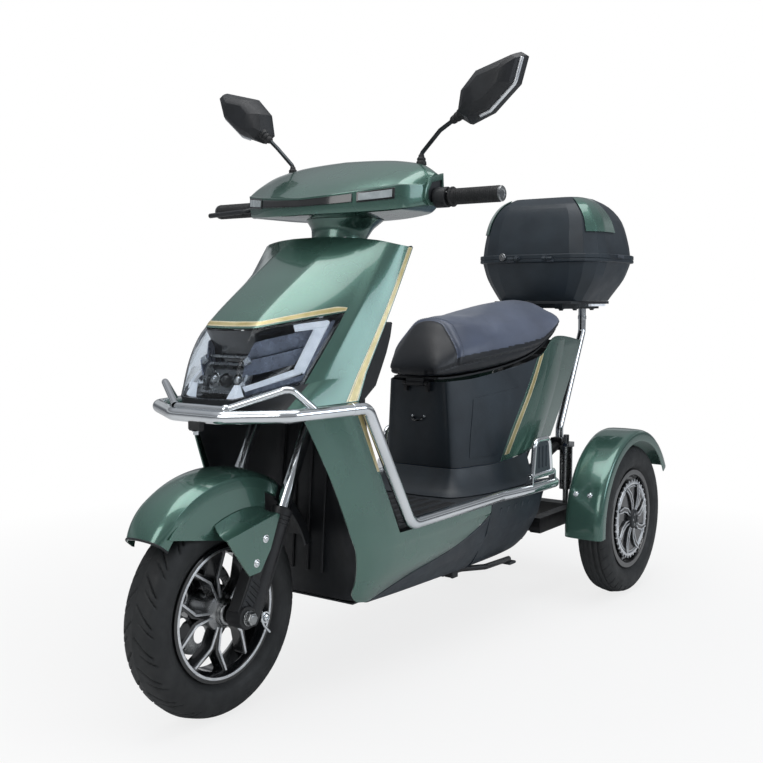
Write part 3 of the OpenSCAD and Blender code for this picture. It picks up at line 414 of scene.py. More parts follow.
# Two copies of the seat vinyl. The lighter, bluer one on the upper surface is painted light. The dark one on the lower
# sides and nose is painted shade, the nose partly its own darker panel
VINYL_LIT = material("seat_vinyl", (62, 71, 90), (80, 90, 111), (0.28, 0.4), scale=9, bump=0.32, bump_scale=520,
                 leather=True, sheen=0.25, wear_and_highlight=(60, 64, 72), wear_and_highlight_at=(0.56, 0.7))
VINYL_DARK_AND_SHADED = material("seat_vinyl_dark_and_shaded", (20, 23, 28), (30, 34, 40), (0.36, 0.48), scale=9, bump=0.4, bump_scale=430,
                  leather=True, wear_and_highlight=(48, 50, 54), wear_and_highlight_at=(0.56, 0.7))
THREAD = material("seat_thread", (46, 48, 54), (74, 78, 86), (0.6, 0.8), scale=400, bump=0.5, bump_scale=2500)
GOLD = material("gold_stripe", (176, 160, 104), (206, 192, 140), (0.3, 0.42), metal=0.45, coat=0.6,
                wear_and_highlight=(232, 214, 170))
CREAM = material("cream_line", (218, 208, 172), (236, 228, 198), (0.3, 0.42), metal=0.1, coat=0.6)
# The glow of this white is painted light. It is used on the headlamp's light guides, the facet beside the projectors
# and the carrier's side strips
WHITE = material("white_painted_glow", (206, 212, 220), (236, 240, 245), (0.3, 0.45), scale=40, bump=0.1, bump_scale=300,
                 glow=0.45)
STRIP = material("lamp_strip", (142, 152, 154), (176, 184, 186), (0.2, 0.32), scale=40, bump=0.15, bump_scale=400)
GUN = material("gunmetal", (44, 48, 50), (70, 75, 78), (0.25, 0.36), metal=0.9)
# The faint glow of this grey is painted light. It is used inside the headlamp and on the brake levers
GREY = material("bezel_grey_painted_glow", (92, 98, 112), (122, 130, 146), (0.22, 0.34), metal=0.3, glow=0.12)
LENS = material("smoked_lens", (226, 231, 236), (226, 231, 236), (0.02, 0.04), scale=12)
fill(LENS.node_tree.nodes["Principled BSDF"], {"Transmission Weight": 1.0, "IOR": 1.22})
RED = material("red_lens", (120, 10, 12), (160, 18, 20), (0.1, 0.18), coat=1.0, bump=0.25, bump_scale=260)
AMBER = material("amber_lens", (190, 96, 14), (222, 128, 26), (0.1, 0.18), coat=1.0)
GLASS = material("mirror_glass", (196, 202, 206), (214, 218, 222), (0.02, 0.05), metal=1.0, scale=6)
PACK = material("battery_case", (32, 62, 112), (44, 78, 132), (0.4, 0.55), scale=20, bump=0.3, bump_scale=700,
                wear_and_highlight=(96, 124, 170))

# Camera, fitted to the photograph, floor and light
cam = bpy.data.cameras.new("camera")
cam.lens, cam.sensor_width = 49.24, 36
camera = bpy.data.objects.new("camera", cam)
camera.location = (1.39798, -2.09847, 0.79208)
camera.rotation_euler = (pi / 2 - 0.0782, 0, 0.6228)
scene.collection.objects.link(camera)
scene.camera = camera

PURE = {"Color": (1, 1, 1, 1), "Strength": 1.0}
ground = bpy.data.meshes.new("floor")
ground.from_pydata([(-30, -30, 0), (30, -30, 0), (30, 30, 0), (-30, 30, 0)], [], [(0, 1, 2, 3)])
floor = bpy.data.objects.new("floor", ground)
scene.collection.objects.link(floor)
pale = bpy.data.materials.new("floor")
pale.use_nodes = True
nt = pale.node_tree
b = nt.nodes["Principled BSDF"]
fill(b, {"Base Color": (0.68, 0.68, 0.68, 1), "Roughness": 0.9, "Specular IOR Level": 0.1})
ray = add_node(nt, "LightPath").outputs
# White towards the horizon, with the object's soft shadow left near its wheels
away = add_node(nt, "VectorMath", links={0: add_node(nt, "TexCoord").outputs["Object"]}, operation="LENGTH")
fade = add_node(nt, "MapRange", {"From Min": 0.7, "From Max": 1.9, "To Min": 0.8, "To Max": 1.0},
                {"Value": away.outputs["Value"]})
seen = add_node(nt, "Math", links={0: ray["Is Camera Ray"], 1: ray["Is Transmission Ray"]}, operation="MAXIMUM")
white = add_node(nt, "Math", links={0: seen.outputs[0], 1: fade.outputs["Result"]}, operation="MULTIPLY")
mixed = add_node(nt, "MixShader", links={"Fac": white.outputs[0], 1: b.outputs[0],
                                         2: add_node(nt, "Emission", PURE).outputs[0]})
nt.links.new(mixed.outputs[0], nt.nodes["Material Output"].inputs["Surface"])
ground.materials.append(pale)

world = bpy.data.worlds.new("studio")
scene.world = world
world.use_nodes = True
nt = world.node_tree
height = add_node(nt, "SeparateXYZ", links={0: add_node(nt, "TexCoord").outputs["Generated"]}).outputs["Z"]
shade = add_node(nt, "ValToRGB", links={"Fac": height})
stops = shade.color_ramp.elements
stops[0].position, stops[0].color = 0.0, (0.22, 0.23, 0.25, 1)
stops[1].position, stops[1].color = 1.0, (0.95, 0.97, 1.0, 1)
# A bright strip above the horizon and a dark band over it, as a studio's walls and lamps show in paint and chrome
for pos, c in ((0.14, (0.2, 0.21, 0.23, 1)), (0.26, (0.84, 0.87, 0.9, 1)), (0.38, (0.3, 0.31, 0.33, 1)),
               (0.66, (0.62, 0.64, 0.68, 1))):
    stops.new(pos).color = c
sky = nt.nodes["Background"]
nt.links.new(shade.outputs["Color"], sky.inputs["Color"])
fill(sky, {"Strength": 0.62})
mixed = add_node(nt, "MixShader", links={"Fac": add_node(nt, "LightPath").outputs["Is Camera Ray"], 1: sky.outputs[0],
                                         2: add_node(nt, "Background", PURE).outputs[0]})
nt.links.new(mixed.outputs[0], nt.nodes["World Output"].inputs["Surface"])


def soft_light(name, where, to, size, energy, colour=(1, 1, 1)):
    light = bpy.data.lights.new(name, "AREA")
    light.shape, light.size, light.size_y, light.energy = "RECTANGLE", *size, energy
    light.color = colour
    ob = bpy.data.objects.new(name, light)
    ob.location = where
    ob.rotation_euler = (Vector(to) - Vector(where)).to_track_quat("-Z", "Y").to_euler()
    scene.collection.objects.link(ob)


soft_light("top", (0.3, -0.4, 3.4), (0, 0, 0.5), (3.2, 2.2), 62)
soft_light("front", (0.2, -3.6, 2.2), (0, 0, 0.5), (1.6, 1.6), 26)
soft_light("side", (3.4, 0.7, 1.7), (0, 0, 0.6), (2.2, 1.4), 32, (0.84, 0.91, 1.0))

# Front body
FRONT = [
    [[0, -8, 578], [66, -4, 579], [100, 18, 583], [132, 52, 588], [150, 77, 590], [177, 150, 594], [192, 206, 596]],
    [[0, -14, 606], [70, -12, 608], [108, 36, 621], [140, 108, 634], [157, 142, 641], [177, 190, 646], [190, 234, 650]],
    [[0, 47, 738], [68, 51, 739], [112, 138, 755], [152, 219, 768], [167, 241, 773], [182, 288, 782], [190, 328, 790]],
    [[0, 306, 922], [58, 309, 921], [106, 318, 918], [148, 332, 913], [165, 342, 909], [180, 364, 904],
     [187, 400, 900]],
]
FN = 8
cowl = grid_of([both(r) for r in FRONT], FN, 12, (2, 3, 5, 7, 9, 10), (1,))
for _ in range(3):
    cowl[:, 1:-1] = (cowl[:, :-2] + 2 * cowl[:, 1:-1] + cowl[:, 2:]) / 4
cowl_n = outward(cowl, 20, 6 * FN, (0, -1, 0))
on_cowl = surface(cowl, cowl_n, FN, 12)
LOW, TOP, OUT, IN = 12, 24, 3 * FN, 9 * FN


def in_lamp(i, j):
    return LOW <= i < TOP and OUT <= j < IN


def chin(i, j):
    return 1 if i < LOW and OUT - 2 <= j < IN + 2 else 0


Build().add(*panel(cowl, -3, lambda i, j: not in_lamp(i, j), chin)).make(
    "front_cowl", [GREEN, BLACK], "chassis", "green_paint", bevel=1.1)


def ribbon(points_of, steps, lo, hi):
    """A thin strip on the cowl: points_of(k) gives its two edges as (s, r) for k from 0 to 1."""
    rows = []
    for k in lin(0, 1, steps):
        (s0, r0), (s1, r1) = points_of(k)
        rows.append([on_cowl(mix(s0, s1, w), mix(r0, r1, w), 0.5) for w in lin(lo, hi, 4)])
    return arr(rows)


def strip(g, t=0.6):
    n = normals(g)
    return panel(g, t) if (n[len(g) // 2, 1] @ (0, 1, -0.2)) > 0 else panel(g, -t)


# Each stripe is gold between two cream lines
LINES = ((0.16, 0.84, 0), (0.0, 0.13, 1), (0.87, 1.0, 1))
stripes = Build()
for lo, hi, mat in LINES:
    def brow_edges(k):
        s = -3 + 6 * k
        a = abs(s)
        w = 0.052 if a < 1 else 0.052 + 0.03 * (a - 1) / 2
        return (s, 2.02), (s, 2.02 + w * (1 if a < 2.6 else 1 - 0.5 * (a - 2.6) / 0.4))

    stripes.add(*strip(ribbon(brow_edges, 97, lo, hi)), mat)
    for side in (1, -1):
        def side_edges(k):
            r = 0.06 + 2.92 * k
            w = 0.52 - 0.2 * k
            return (side * (5.9 - w), r), (side * 5.9, r)

        stripes.add(*strip(ribbon(side_edges, 60, lo, hi)), mat)

# Headlamp: a smoked lens over a deep housing with light guides and a projector block
lens = cowl[LOW:TOP + 1, OUT:IN + 1] + 0.6 * cowl_n[LOW:TOP + 1, OUT:IN + 1]
mid = lens.mean((0, 1))
inset = lens + 1.4 * (mid - lens) / np.linalg.norm(mid - lens, axis=2, keepdims=True)
lens[0], lens[-1], lens[:, 0], lens[:, -1] = inset[0], inset[-1], inset[:, 0], inset[:, -1]
Build().add(*panel(lens, -3.2)).make("headlamp_lens", LENS, "chassis", "lamp_lens", "headlamp", bevel=1.2)


def lamp_at(s, v, d):
    return on_cowl(s, 1 + v, -d)


bowl = arr([[lamp_at(s * 0.992, 0.012 + 0.976 * v, 5 + 58 * ((1 - (s / 3) ** 6) * sin(pi * v) ** 0.4))
             for s in lin(-3, 3, 41)] for v in lin(0, 1, 15)])
lamp = Build().add(*panel(bowl, -2.5), 0)


def bar_in_lamp(line, w, d, thick, mat, n=14):
    """A bar with a bevelled face along a line of (s, v) points in the lamp."""
    pts = creased(line, n, range(1, len(line) - 1))
    for side in (1, -1):
        rows = []
        for k, (s, v) in enumerate(pts):
            a, b = pts[max(k - 1, 0)], pts[min(k + 1, len(pts) - 1)]
            t = unit(lamp_at(side * b[0], b[1], d) - lamp_at(side * a[0], a[1], d))
            p = lamp_at(side * s, v, d)
            n_out = unit(lamp_at(side * s, v, d - 10) - p)
            q = unit(np.cross(n_out, t))
            rows.append([p + q * w / 2, p + q * w * 0.34 + n_out * thick, p - q * w * 0.34 + n_out * thick,
                         p - q * w / 2])
        lamp.add(*loft(rows), mat)


bar_in_lamp([(1.3, 0.2), (2.62, 0.31)], 13, 16, 6, 1)
bar_in_lamp([(2.62, 0.3), (2.52, 0.97)], 24, 16, 6, 1)
bar_in_lamp([(1.9, 0.93), (2.6, 0.9)], 16, 12, 4, 1)
bar_in_lamp([(1.35, 0.13), (2.9, 0.17), (2.78, 0.97)], 12, 14, 3, 2)
for v0, v1 in ((0.40, 0.60), (0.63, 0.84)):
    for side in (1, -1):
        g = arr([[lamp_at(side * s, mix(v0, v1, w) + 0.02 * s, 34 - 12 * w) for s in lin(1.2, 2.45, 12)]
                 for w in lin(0, 1, 5)])
        lamp.add(*panel(g, 2.5), 2)
block_c = lamp_at(0, 0.44, 44)
fw = unit((0, -1, 0.42))
up = unit((0, 0.42, 1))


def lamp_block(x, z, y):
    return block_c + arr((1, 0, 0)) * x + up * z + fw * y


def frame_ring(hw, hh, y):
    return [lamp_block(x, z, y) for x, z in rounded(hw, hh, 10, 6)]


lamp.add(*loft([frame_ring(56, 33, -10), frame_ring(56, 33, 4), frame_ring(54, 31, 8), frame_ring(49, 26, 8),
                frame_ring(47, 24, 2), frame_ring(44, 21, -6)]), 3)
for x in (-30, 0, 30):
    lamp.add(*turned([(-8, 14), (3, 14), (4, 12.5), (-2, 12), (-3, 11.5), (3, 10.5), (7, 7), (8.6, 3), (9, 0.05)],
                     lamp_block(x, -1, -2), fw, 32), 0 if x == 0 else 3)
for z, hw in ((44, 52), (-44, 40)):
    lamp.add(*tube([lamp_block(-hw, z, 6), lamp_block(hw, z, 6)], 3.2, 5, 12), 3)
# Four small bright diamond studs in the housing: painted glints
for s, v in ((0.85, 0.32), (0.85, 0.68), (-0.85, 0.32), (-0.85, 0.68)):
    p = lamp_at(s, v, 26)
    lamp.add(*turned([(-6, 9), (0, 9), (1, 8), (-1, 6.5), (3, 4), (4, 0.05)], p, fw, 4), 4)
# A glowing white facet low beside the projectors: a painted reflection
for side in (1, -1):
    g = arr([[lamp_at(side * mix(0.62, 0.9, u) if w else side * mix(0.5, 1.35, u), 0.06 + 0.26 * w, 12 + 6 * w)
              for u in lin(0, 1, 4)] for w in (0, 1)])
    lamp.add(*panel(g, 2), 1)
lamp.make("headlamp_inside", [GLOSS, WHITE, GREY, STEEL, ALLOY], "chassis", "black_plastic", "", bevel=0.5)

# Leg shields, liner, floor and skirts
SHIELD = [
    [[150, 77, 588.6], [165, 112, 590.2], [180, 160, 592.8], [192, 206, 594.8], [192, 470, 595], [192, 600, 595],
     [192, 716, 595]],
    [[172, 143, 450], [184, 182, 450], [193, 226, 451], [197, 268, 452], [199, 470, 452], [199, 600, 452],
     [197, 722, 452]],
    [[179, 197, 330], [190, 240, 326], [196, 288, 320], [199, 336, 316], [200, 470, 316], [200, 600, 316],
     [198, 716, 316]],
    [[179, 214, 292], [189, 255, 288], [194, 300, 284], [196, 348, 282], [197, 465, 282], [196, 585, 283],
     [194, 700, 284]],
    [[168, 228, 240], [178, 256, 238], [184, 290, 236], [187, 330, 236], [188, 410, 236], [187, 495, 238],
     [184, 580, 240]],
    [[153, 233, 200], [160, 252, 198], [164, 272, 197], [166, 296, 197], [166, 330, 198], [165, 368, 200],
     [164, 404, 203]],
    [[149, 256, 180], [151, 264, 179], [153, 272, 178], [154, 280, 177], [154, 288, 177], [153, 296, 177],
     [152, 304, 178]],
]
shield = grid_of(SHIELD, 6, 8)
shield_n = outward(shield, 20, 10, X_AXIS)
for side, name in SIDES:
    g = shield * (side, 1, 1)
    Build().add(*panel(g, -3 * side, lambda i, j: i >= 16 or j < 18)).make(
        "leg_shield_" + name, GREEN, "chassis", "green_paint", bevel=1.0)
    # The gold stripe runs on down the upper half of the trailing edge
    edge = shield[1:9, 16:19] + 0.5 * shield_n[1:9, 16:19]
    line = arr([[mix(r[0], r[2], w) for w in (0.5 + 0.2 * k / 7, 0.78, 0.96)] for k, r in enumerate(edge)])
    stripes.add(*panel(line * (side, 1, 1), -0.6 * side), 0)

INNER = [[902, 474, 183.4, 403], [790, 430, 185, 335], [650, 382, 185, 242], [600, 366, 186, 214],
         [450, 356, 190, 276], [342, 352, 192, 338], [326.3, 352, 184, 346]]


inner = grid_of([both([[0, m, z], [70, m - 2, z], [120, mix(e, m, 0.72), z], [w - 12, mix(e, m, 0.12), z], [w, e, z]])
                 for z, m, w, e in INNER], 6, 6)
back = Build().add(*panel(inner, -3))
# Hook and key switch on the rider's side
back.add(*tube([(0, 366, 640), (0, 392, 640), (0, 400, 628), (0, 396, 612)], 4.5, 7, 14), 1)
back.add(*turned([(0, 17), (2, 17), (3, 15), (3, 0.1)], (0, 369, 640), (0, 1, 0), 28), 1)
back.add(*turned([(0, 20), (4, 20), (6, 18), (6, 12), (9, 11), (9, 0.1)], (62, 428, 800), (0, 1, -0.3), 32), 2)
back.add(*block((58, 432, 792), (66, 440, 805)), 1)
# Its sides bulge out past the cowl's trailing edge
lip_of = [(279, 589), (320, 616), (341, 652), (359, 684), (373, 717), (380, 746)]
front_of = [(np.interp(z, (600, 650, 790), (214, 242, 335)) + 12, z) for y, z in lip_of[::-1]]
ring = arr(lip_of + front_of)
mid = ring.mean(axis=0)
for side in (1, -1):
    rings = [[(side * x, *(mid + (p - mid) * s)) for p in ring] for x, s in ((152, 0.9), (150, 0.97), (146, 1),
                                                                             (104, 1))]
    v, f = loft(rings)
    back.add(v, facing(f, side < 0), 0)
back.make("inner_shield", [BLACK, GLOSS, STEEL], "chassis", "black_plastic", bevel=0.9)

LINER = [[566, 286, 150.9, 97], [450, 272, 167.4, 158], [330, 262, 174, 206], [240, 256, 163, 238],
         [180, 254, 145, 262]]
liner = grid_of([both([[0, m, z], [90, m, z], [w - 16, mix(m, e, 0.6), z], [w, e, z]]) for z, m, w, e in LINER], 6, 6)
arch = Build().add(*panel(liner, 3))
for x in (-60, -20, 20, 60):
    arch.add(*tube([(x, 282, 540), (x, 270, 440), (x, 260, 330), (x, 253.5, 230)], 3, 60, 10))
arch.make("wheel_liner", BLACK, "chassis", "black_plastic", bevel=0.8)

SKIRT = [[304, 178, 166, 152], [404, 203, 160, 164], [580, 240, 156, 184], [709, 282, 154, 193], [731, 315, 154, 198],
         [860, 315, 154, 199], [940, 315, 158, 199], [985, 315, 168, 198]]
skirt = grid_of([[[w, y + 0.5, t - 1], [mix(w, 140, 0.3), y, mix(t, b, 0.45)], [mix(w, 136, 0.8), y, mix(t, b, 0.85)],
                  [130, y, b]] for y, t, b, w in SKIRT], 6, 6, (1,))
for side, name in SIDES:
    sk = Build().add(*panel(skirt * (side, 1, 1), 3 * side))
    for k in range(5):
        y = 770 + 36 * k
        rib = [(side * 192, y, 296), (side * 176, y, 248), (side * 160, y, 214)]
        sk.add(*tube(rib, 4, 20, 10), 0)
    for y, z, x in ((800, 214, 158), (900, 216, 159), (700, 206, 152), (560, 204, 153)):
        sk.add(*bolt((side * x, y, z), (side * 0.8, 0, -0.6), 5), 1)
    sk.make("side_skirt_" + name, [SLATE, STEEL], "chassis", "black_plastic", bevel=0.8)

# Floor board with a moulded rubber mat
mat_top = Build().add(*block((-186, 352, 318), (186, 985, 326)), 0)
for i in range(9):
    x = (i - 4) * 36
    ring = []
    for y, h in ((372, 0.2), (376, 2.4), (382, 3), (610, 3), (616, 2.4), (630, 0.2)):
        ring.append([(x - 9, y, 325.6), (x - 8, y, 325.6 + 0.75 * h), (x - 5.5, y, 326 + h), (x + 5.5, y, 326 + h),
                     (x + 8, y, 325.6 + 0.75 * h), (x + 9, y, 325.6)])
    mat_top.add(*loft(ring), 1)
for side in (1, -1):
    for y in np.arange(380, 640, 13.0):
        mat_top.add(*side_block(side, (164, y, 325.6), (182, y + 6, 327.4)), 1)
mat_top.make("floor_board", [BLACK, SOFT], "chassis", "rubber", bevel=0.9)

# Seat box, tail panels and the plinth under them
BODY = [
    [[0, 704, 390], [72, 704, 390], [98, 712, 390], [118, 770, 390], [139, 861, 391], [146, 1000, 404],
     [132, 1150, 425]],
    [[0, 703, 460], [70, 703, 460], [96, 712, 460], [120, 780, 466], [143, 915, 472], [149, 1050, 486],
     [130, 1222, 510]],
    [[0, 702, 530], [66, 702, 530], [92, 712, 532], [120, 800, 542], [145, 985, 560], [147, 1110, 586],
     [124, 1300, 600]],
    [[0, 702, 596], [62, 702, 596], [88, 712, 598], [116, 815, 606], [141, 1053, 642], [139, 1160, 694],
     [112, 1380, 676]],
]
BN = 8
body = grid_of([both(r) for r in BODY], BN, 10)
body_n = outward(body, 10, 3 * BN, X_AXIS)
on_body = surface(body, body_n, BN, 10)
last = body.shape[1] - 1
seam = 2 * BN
box = Build().add(*panel(body, -3, lambda i, j: seam <= j < last - seam))


# Bag hook with its two screws on the seat box's front
box.add(*tube([(-13, 701, 507), (-13, 694, 503), (0, 691, 501), (13, 694, 503), (13, 701, 507)], 2.6, 5, 12), 1)
for x in (-17, 17):
    box.add(*bolt((x, 702.5, 511), (0, -1, 0), 3.2, washer=False), 2)
# A shallow raised field on each side of the box
for side in (1, -1):
    g = arr([[on_body(side * s, r, 1.2) for s in lin(2.75, 3.75, 18)] for r in lin(0.35, 2.2, 22)])
    box.add(*panel(g, 2.2 * side), 0)
box.make("seat_box", [SLATE, GLOSS, CHROME], "chassis", "black_plastic", bevel=1.0)
for side, name in SIDES:
    tail = Build().add(*panel(body, -3, (lambda i, j: j < seam) if side > 0 else (lambda i, j: j >= last - seam)))
    crease = arr([[on_body(side * s, r, 2.2 * sin(pi * k / 6)) for k, s in enumerate(lin(4.75, 5.35, 7))]
                  for r in lin(0.12, 2.9, 30)])
    tail.add(*panel(crease, 1.5 * side))
    tail.make("tail_panel_" + name, GREEN, "chassis", "green_paint", bevel=1.0)
    for lo, hi, m in LINES:
        rows = []
        for k in lin(0, 1, 50):
            r = 0.25 + 2.72 * k
            c = 4.14 + 0.02 * sin(pi * k)
            rows.append([on_body(side * (c + 0.155 * (q - 0.5)), r, 0.6) for q in lin(lo, hi, 4)])
        stripes.add(*panel(arr(rows), -0.6 * side), m)
stripes.make("body_stripes", [GOLD, CREAM], "chassis", "green_paint", "")

FOOT = [[0, 650], [76, 652], [124, 670], [156, 750], [170, 861], [174, 985]]
RIM = [[0, 704, 389], [72, 704, 389], [98, 712, 389], [118, 770, 389], [139, 861, 390], [146, 985, 401]]
plinth = grid_of([both([mix(arr((*FOOT[i], 328.7)), arr(RIM[i]), t) - (0, 0, 36 * t * (1 - t)) for i in range(6)])
                  for t in (0, 0.35, 0.7, 1)], 8, 6)
Build().add(*panel(plinth, -3)).make("seat_plinth", SLATE, "chassis", "rubber", bevel=1.0)

edge = body[:, 0]
cover = Build().add(*panel(arr([[(k * (p[0] - 3.3), p[1] - 2, p[2]) for k in lin(-1, 1, 25)] for p in edge]), 3))
for x in (-60, -30, 0, 30, 60):
    cover.add(*tube([(x, 1168, 446), (x, 1212, 500)], 2.5, 5, 10))
cover.make("tail_cover", BLACK, "chassis", "black_plastic", bevel=0.8)

# Tail lamp: a ribbed red lens with amber ends
lamp_b = Build()
ca, sa = cos(radians(46)), sin(radians(46))


def tail_at(x, y, z):
    return (x, REAR_Y + 67 + y * ca - z * sa, 628 + y * sa + z * ca)


def tail_block(x0, x1, y0, y1, z0, z1, mat):
    v, f = block((x0, y0, z0), (x1, y1, z1))
    lamp_b.add([tail_at(*p) for p in v], f, mat)


tail_block(-70, 70, -18, 18, -20, -8, 3)
tail_block(-44, 44, -17, 17, -9, -4.6, 0)
for s in (-1, 1):
    tail_block(*sorted((s * 46, s * 69)), -17, 17, -9, -4.6, 1)
for k in range(12):
    x = -62 + k * 11.3
    v, f = tube([tail_at(x, -15.5, -5), tail_at(x, 15.5, -5)], 1.2, 1, 8)
    lamp_b.add(v, f, 0 if abs(x) < 45 else 1)
lamp_b.make("tail_lamp", [RED, AMBER, WHITE, GLOSS], "chassis", "red_lens", bevel=0.8)

# Chrome guard tubes
HOOP_END = arr((202, 178, 583.5))  # where a guard rail takes over
hoop = [HOOP_END, (174, 24, 582), (60, -40, 578)]
hoop = [flip(p) for p in hoop] + [arr(p) for p in hoop[::-1]]
brow = [(64, -30, 592), (165, 35, 632), (185, 84, 588)]
brow = [flip(p) for p in brow[::-1]] + [arr(p) for p in brow]
guard = Build().add(*tube(hoop, 12.5, 40, 28)).add(*tube(brow, 7, 22, 22))
for side in (1, -1):
    guard.add(*turned([(-3, 9), (0, 10), (4, 9.4), (7, 8)], (side * 184, 79, 588), (side * 0.1, 0.6, -0.8), 24))
    guard.add(*turned([(-4, 9), (0, 9.6), (3, 8.6), (6, 7.4)], (side * 66, -29, 593), unit((side * 0.75, 0.48, 0.3)),
                      24))
guard.add(*slab([(-47, 568), (-33, 568), (-33, 554), (-36, 550), (-44, 550), (-47, 554)], 0, -14, 14), 1)
guard.add(*bolt((0, -40, 550), (0, 0, -1), 5.5, 7, hexagon=True))
guard.make("guard_bar", [CHROME, STEEL_BLACK], "chassis", "chrome", bevel=0.8)

rail_dir = unit(HOOP_END - (174, 24, 582))
for side, name in SIDES:
    path = [HOOP_END + rail_dir * 0.3, HOOP_END + rail_dir * 34, (208, 362, 330), (208, 740, 330), (224, 860, 330),
            (224, 1020, 330), (105.5, 1020, 300.7)]
    path = [arr(p) * (side, 1, 1) for p in path]
    rail = Build().add(*tube(path, 12.5, 40, 28))
    rail.add(*turned([(-7, 13.4), (7, 13.4), (8, 12.6), (-8, 12.6)], HOOP_END * (side, 1, 1), rail_dir * (side, 1, 1),
                     28, closed=True))
    for y in (854, 974):
        o = [(side * 215, 330), (side * 233, 330), (side * 233, 362), (side * 229, 368), (side * 219, 368),
             (side * 215, 362)]
        rail.add(*slab(o, 1, y, y + 6))
    for y in (470, 640, 930):
        x = 208 if y < 700 else 224
        rail.add(*slab([(side * (x - 26), 322), (side * (x - 8), 322), (side * (x - 8), 327), (side * (x - 26), 327)],
                       1, y - 9, y + 9))
        rail.add(*bolt((side * (x - 20), y, 327), Z_AXIS, 4))
    rail.make("guard_rail_" + name, CHROME, "chassis", "chrome", bevel=0.7)
    out = side * 224
    step = Build().add(*tube([(out, 852, 360), (out, 982, 360)], 4, 2, 16))
    step.add(*tube([(out, 862, 360), (out, 972, 360)], 8, 2, 20))
    step.add(*tube([(out, 868, 360), (out, 880, 448), (out, 954, 448), (out, 966, 360)], 6.5, 22, 20))
    o = [(868, 362), (966, 362), (956, 440), (948, 448), (886, 448), (878, 440)]
    step.add(*slab(o, 0, out - 3, out + 3), 1)
    for k in range(3):
        y = 898 + 19 * k
        for x in (220.6, 227.4):
            step.add(*tube([(side * x, y, 378), (side * x, y, 432)], 1.6, 2, 10), 1)
    step.make("footrest_" + name, [CHROME, SLATE], "step_" + name, "chrome", bevel=0.9)

# Carrier behind the seat
rack = Build()
for x in (-85, 85):
    rack.add(*tube([(x, 1300, 401.3), (x, 1300, 430), (x, 1440, 700), (x, 1440, 778)], 11, 30, 22))
    rack.add(*block((x - 12, 1284, 766), (x + 12, 1530, 782)), 3)
    for y in (1300, 1390, 1506):
        rack.add(*bolt((x, y, 766), (0, 0, -1), 6, hexagon=True), 3)
    rack.add(*turned([(-5, 12.4), (5, 12.4), (6, 11.4), (-6, 11.4)], (x, 1440, 740), Z_AXIS, 24, closed=True))
for y in (1290, 1390, 1506):
    rack.add(*block((-85, y, 768), (85, y + 16, 782)), 3)
rack.add(*block((-122, 1286, 780), (122, 1546, 788)), 1)
# A glowing white strip on each side under the plate: a painted highlight
for x in (-114, 114):
    rack.add(*block((x - 5, 1430, 773), (x + 5, 1530, 780)), 2)
rack.make("rear_rack", [CHROME, BLACK, WHITE, GUN], "chassis", "chrome", bevel=1.2)


def on_rear(side, x, r, a):
    """A point at the radius r and the angle a about a rear wheel's axle."""
    return side * (REAR_X + x), REAR_Y + r * cos(a), WHEEL_R + r * sin(a)


# Rear mudguards
for side, name in SIDES:
    prof = [(-52, 220), (-52, 227), (-51, 233), (-47, 238), (-40, 241), (-30, 242), (0, 242.6), (30, 242), (40, 241),
            (47, 238.5), (51, 234), (52, 226), (52, 212.6), (50.6, 211.6), (49, 213), (49, 226), (47, 232), (42, 236),
            (34, 238.5), (0, 239.4), (-34, 238.5), (-44, 235), (-48, 230), (-49, 221), (-50.5, 219.4)]
    v, f = loft([[on_rear(side, x, r, radians(30 + 154 * k)) for x, r in prof] for k in lin(0, 1, 65)])
    fender = Build().add(v, facing(f, side < 0), 0)
    fender.add(*side_block(side, (236.5, 1246, 225.3), (238.5, 1310, 428)), 1)
    fender.add(*side_block(side, (168, 1250, 224.3), (237.5, 1280, 228.3)), 1)
    for x in (262, 300):
        a = radians(157)
        fender.add(*bolt((side * x, REAR_Y + 242.4 * cos(a), WHEEL_R + 242.4 * sin(a)), (0, cos(a), sin(a)), 5), 2)
    for z in (270, 340, 400):
        fender.add(*bolt((side * 236.4, 1278, z), (-side, 0, 0), 5, hexagon=True), 2)
    fender.make("rear_fender_" + name, [GREEN, STEEL_BLACK, CHROME], "chassis", "green_paint", bevel=0.7)


# Luggage box: flat faces with broad corner facets, a rim band, green corner inserts
BOX_HALF, BOX_FRONT, BOX_BACK = 203, 1280, 1602


def box_ring(z, ins, fr, bk, r):
    """A level line round the box, set in at the sides, front and back, with corners of radius r."""
    y0, y1 = BOX_FRONT + fr, BOX_BACK - bk
    return [(x, (y0 + y1) / 2 + y, z) for x, y in rounded(BOX_HALF - ins, (y1 - y0) / 2, r, 3)]


TUB = [[788.3, 65, 30, 60, 50], [806, 53, 24, 52, 56], [850, 25, 13, 26, 70], [890, 11, 6, 10, 78]]
tub = Build()
outer = [box_ring(*k) for k in curve(TUB, 3)] + [box_ring(*k) for k in (
    [897, 9, 5, 8, 80], [898.5, 1.5, 1.5, 1.5, 84], [900, 0, 0, 0, 84], [906.7, 0, 0, 0, 84], [907.7, 1, 1, 1, 84])]
inside = [box_ring(*k) for k in ([907.7, 14, 11, 13, 74], [892, 17, 12, 16, 72], [850, 31, 19, 32, 64],
                                 [794, 66, 34, 62, 46])]
tub.add(*loft(outer + inside))
for x in (-70, 52):
    tub.add(*turned([(0, 5), (18, 5), (18, 2.6), (0, 2.6)], (x, 1270, 908), X_AXIS, 24, closed=True))
    tub.add(*block((x, 1272, 899), (x + 18, 1282, 906)))
tub.make("luggage_tub", SLATE, "chassis", "black_plastic", bevel=3.0, segments=3, angle=14)

